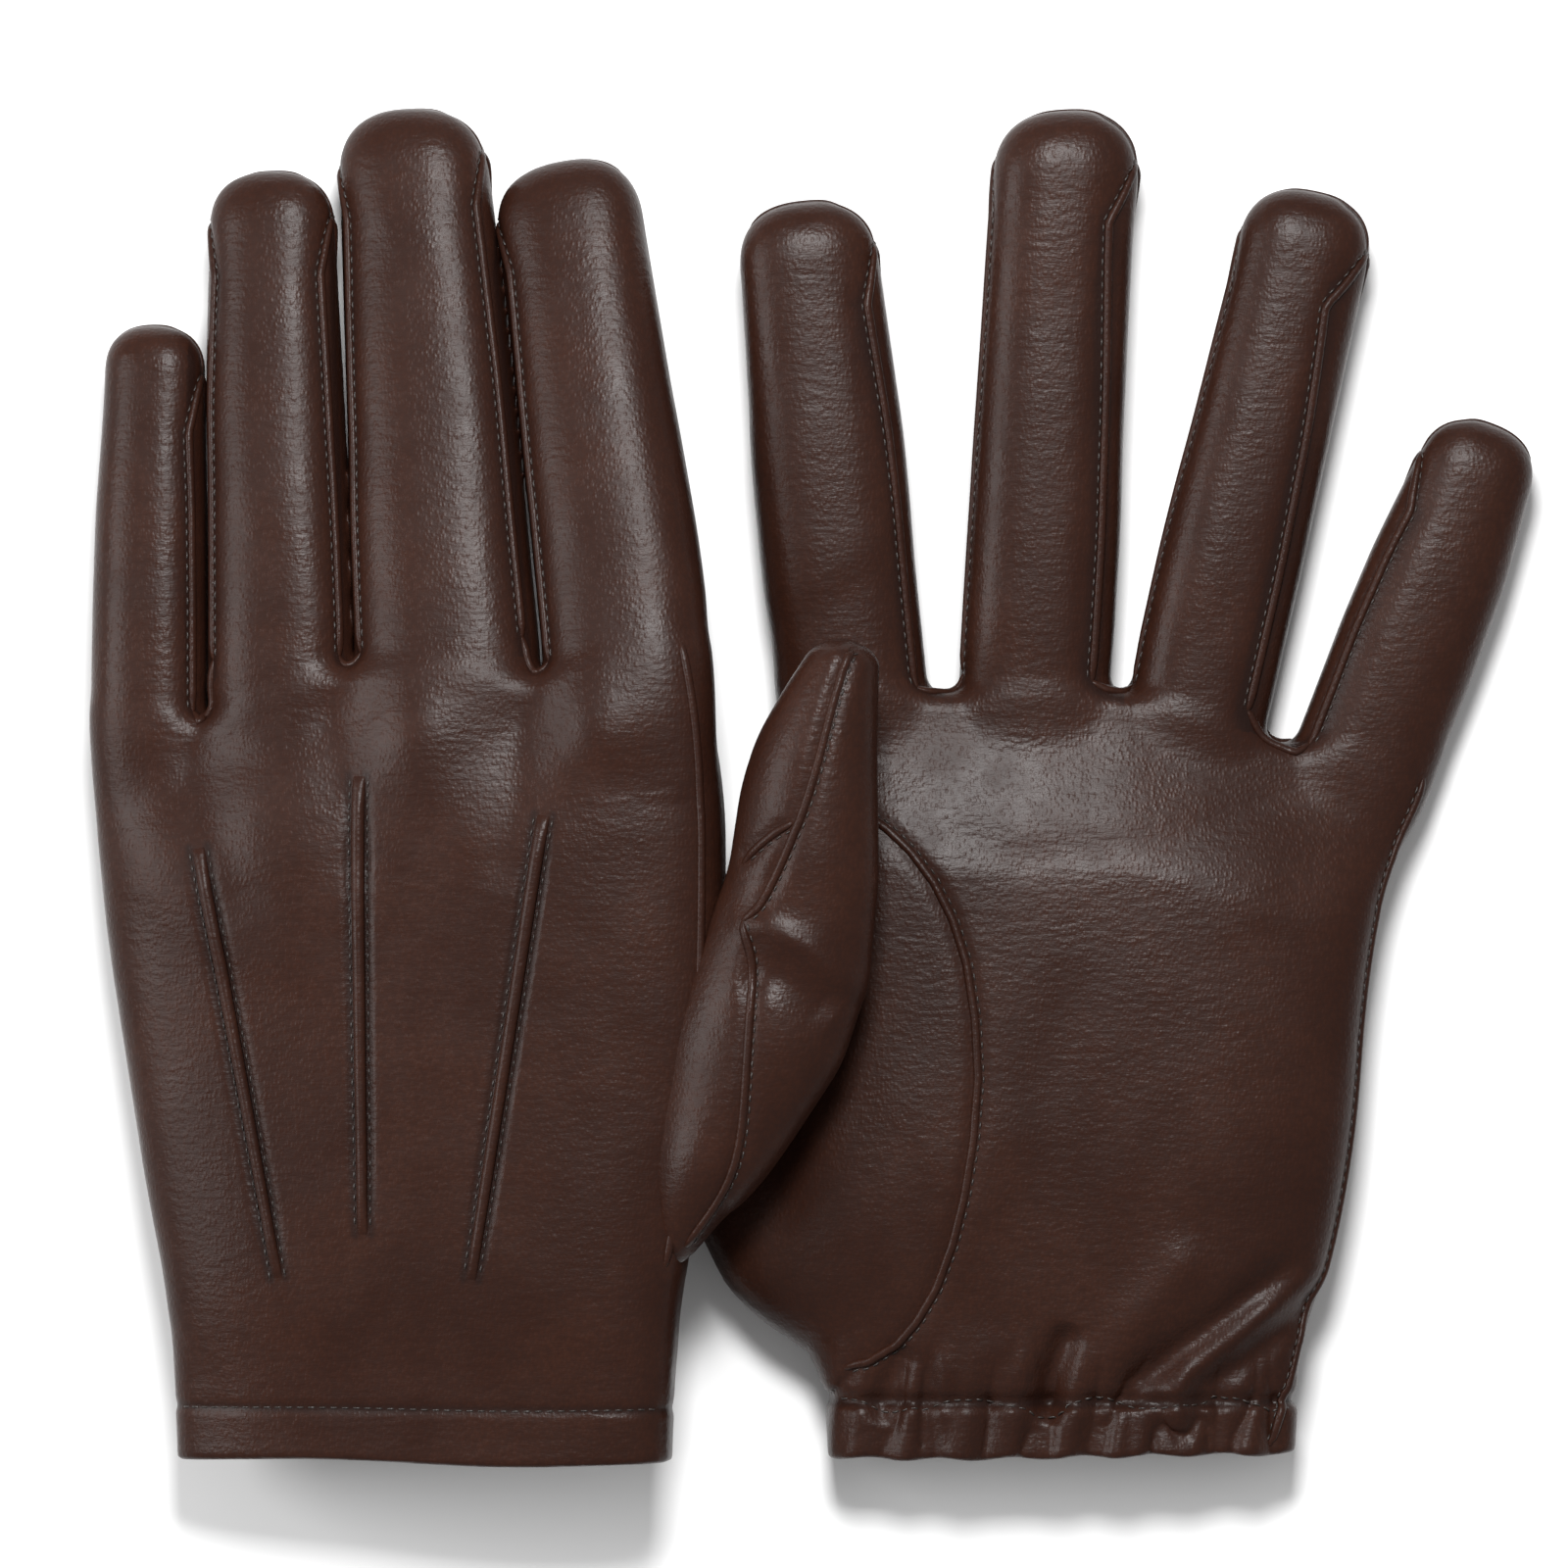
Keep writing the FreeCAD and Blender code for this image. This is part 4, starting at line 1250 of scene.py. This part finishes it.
class Nodes:
    """Adds shader nodes to one material."""

    def __init__(self, name):
        self.material = bpy.data.materials.new(name)
        self.material.use_nodes = True
        self.tree = self.material.node_tree
        self.shader = next(n for n in self.tree.nodes if n.type == "BSDF_PRINCIPLED")

    def add(self, kind, **values):
        node = self.tree.nodes.new(kind)
        for key, value in values.items():
            if key in node.inputs:
                node.inputs[key].default_value = value
            else:
                setattr(node, key, value)
        return node

    def link(self, a, b):
        self.tree.links.new(a, b)

    def attribute(self, name, output="Vector"):
        return self.add("ShaderNodeAttribute", attribute_name=name).outputs[output]

    def scaled(self, vector, scale):
        node = self.add("ShaderNodeMapping", Scale=scale)
        self.link(vector, node.inputs["Vector"])
        return node.outputs["Vector"]

    def noise(self, vector, scale, detail=3.0, roughness=0.55):
        node = self.add("ShaderNodeTexNoise", Scale=scale, Detail=detail, Roughness=roughness)
        self.link(vector, node.inputs["Vector"])
        return node.outputs["Fac"]

    def cells(self, vector, scale):
        node = self.add("ShaderNodeTexVoronoi", Scale=scale)
        self.link(vector, node.inputs["Vector"])
        return node.outputs["Distance"]

    def ramp(self, value, low, high, to_low=0.0, to_high=1.0):
        node = self.add("ShaderNodeMapRange")
        node.interpolation_type = "SMOOTHSTEP"
        for key, number in zip(("From Min", "From Max", "To Min", "To Max"), (low, high, to_low, to_high)):
            node.inputs[key].default_value = number
        self.link(value, node.inputs["Value"])
        return node.outputs["Result"]

    def mix(self, share, a, b):
        node = self.add("ShaderNodeMix", data_type="RGBA")
        self.link(share, node.inputs["Factor"])
        for socket, value in ((node.inputs[6], a), (node.inputs[7], b)):
            if isinstance(value, tuple):
                socket.default_value = (*value, 1.0)
            else:
                self.link(value, socket)
        return node.outputs[2]

    def bump(self, height, distance, strength=1.0, under=None):
        node = self.add("ShaderNodeBump", Strength=strength, Distance=distance)
        self.link(height, node.inputs["Height"])
        if under is not None:
            self.link(under, node.inputs["Normal"])
        return node.outputs["Normal"]

    def set(self, **values):
        names = {"colour": "Base Color", "roughness": "Roughness", "normal": "Normal",
                 "specular": "Specular IOR Level", "sheen": "Sheen Weight"}
        for key, value in values.items():
            socket = self.shader.inputs[names[key]]
            if isinstance(value, (int, float, tuple)):
                socket.default_value = value
            else:
                self.link(value, socket)


def leather_material():
    """Dark brown nappa: fine pebbled grain, fine creases, with painted shade in its seams and in the pits of its
    grain.
    """
    n = Nodes("leather")
    grain = n.attribute("grain")
    long_grain = n.scaled(grain, (1.0, 0.62, 1.0))
    cross_grain = n.scaled(grain, (0.35, 1.0, 0.6))
    blotches = n.noise(grain, 0.045, 3.0)
    mottling = n.noise(grain, 0.5, 2.0)
    colour = n.mix(n.ramp(blotches, 0.35, 0.7), LEATHER_DARK, LEATHER_LIGHT)
    colour = n.mix(n.ramp(mottling, 0.42, 0.62, 0.0, 0.35), colour, LEATHER_MOTTLE)
    pebbles = n.cells(long_grain, 1.35)
    seam = n.attribute("seam", "Fac")
    # painted shade: darker near the seams, the hem row and the points' stitch rows, by the seam distance
    colour = n.mix(n.ramp(seam, 0.3, 1.7, 0.6, 0.0), colour, LEATHER_SEAM_SHADE)
    # painted shade: darker in the pits between the grain's pebbles
    colour = n.mix(n.ramp(pebbles, 0.3, 0.75, 0.0, 0.25), colour, LEATHER_PORE_SHADE)
    creases = n.noise(cross_grain, 0.8, 4.0, 0.6)
    wear = n.noise(grain, 0.11, 2.0)
    normal = n.bump(n.ramp(pebbles, 0.0, 0.6, 1.0, 0.0), 0.04 * MM, 0.8)
    normal = n.bump(creases, 0.21 * MM, 0.65, normal)
    normal = n.bump(n.noise(long_grain, 2.6, 2.0), 0.03 * MM, 0.5, normal)
    n.set(colour=colour, normal=normal, specular=0.14,
          roughness=n.ramp(wear, 0.3, 0.7, 0.32, 0.39))
    return n.material


def lining_material():
    """Brushed dark knit."""
    n = Nodes("lining")
    grain = n.attribute("grain")
    ribs = n.add("ShaderNodeTexWave", Scale=0.55, Distortion=0.6)
    n.link(grain, ribs.inputs["Vector"])
    fuzz = n.noise(grain, 1.8, 3.0)
    colour = n.mix(fuzz, *LINING_COLOURS)
    normal = n.bump(ribs.outputs["Fac"], 0.15 * MM, 0.7)
    normal = n.bump(fuzz, 0.12 * MM, 0.6, normal)
    n.set(colour=colour, normal=normal, roughness=0.9, sheen=0.4, specular=0.2)
    return n.material


def elastic_material():
    """Woven elastic tape."""
    n = Nodes("elastic")
    grain = n.attribute("grain")
    weave = n.cells(n.scaled(grain, (0.6, 1.6, 1.0)), 1.2)
    colour = n.mix(weave, *ELASTIC_COLOURS)
    n.set(colour=colour, normal=n.bump(weave, 0.15 * MM), roughness=0.8, specular=0.25)
    return n.material


def thread_material():
    """Waxed twisted thread, close to the leather's colour."""
    n = Nodes("thread")
    grain = n.attribute("grain")
    twist = n.noise(n.scaled(grain, (1.0, 2.2, 1.0)), 2.0, 1.0)
    colour = n.mix(twist, *THREAD_COLOURS)
    n.set(colour=colour, normal=n.bump(twist, 0.08 * MM), roughness=0.42, specular=0.5)
    return n.material


# ---------------------------------------------------------------- stage


def floor_material():
    n = Nodes("floor")
    n.set(colour=FLOOR_COLOUR, roughness=0.9, specular=0.1)
    return n.material


def make_floor():
    bpy.ops.mesh.primitive_plane_add(size=60.0, location=(0.0, 0.0, 0.0))
    floor = bpy.context.object
    floor.name = "floor"
    floor.data.materials.append(floor_material())


def area_light(name, place, size, power):
    """A square light that points at the middle of the gloves."""
    data = bpy.data.lights.new(name, "AREA")
    data.size = size
    data.energy = power
    light = bpy.data.objects.new(name, data)
    light.location = place
    light.rotation_mode = "QUATERNION"
    light.rotation_quaternion = (-Vector(place)).to_track_quat("-Z", "Y")
    bpy.context.scene.collection.objects.link(light)


def make_light():
    world = bpy.data.worlds.new("studio")
    world.use_nodes = True
    background = world.node_tree.nodes["Background"]
    background.inputs["Color"].default_value = (1.0, 1.0, 1.0, 1.0)
    background.inputs["Strength"].default_value = WORLD_STRENGTH
    bpy.context.scene.world = world
    area_light("key", *KEY_LIGHT)
    area_light("side", *SIDE_LIGHT)


def make_camera():
    """Straight above, through a long lens."""
    data = bpy.data.cameras.new("camera")
    data.sensor_width = 36.0
    data.lens = 36.0 * CAMERA_HEIGHT / FIELD_OF_VIEW
    camera = bpy.data.objects.new("camera", data)
    camera.location = (*CAMERA_OVER, CAMERA_HEIGHT + SUBJECT_HEIGHT)
    bpy.context.scene.collection.objects.link(camera)
    bpy.context.scene.camera = camera


def main():
    materials = {
        "leather": leather_material(),
        "lining": lining_material(),
        "elastic": elastic_material(),
        "thread": thread_material(),
    }
    for glove in gloves():
        Builder(glove, materials).build()
    make_floor()
    make_light()
    make_camera()
    view = bpy.context.scene.view_settings
    view.view_transform = "Standard"


main()
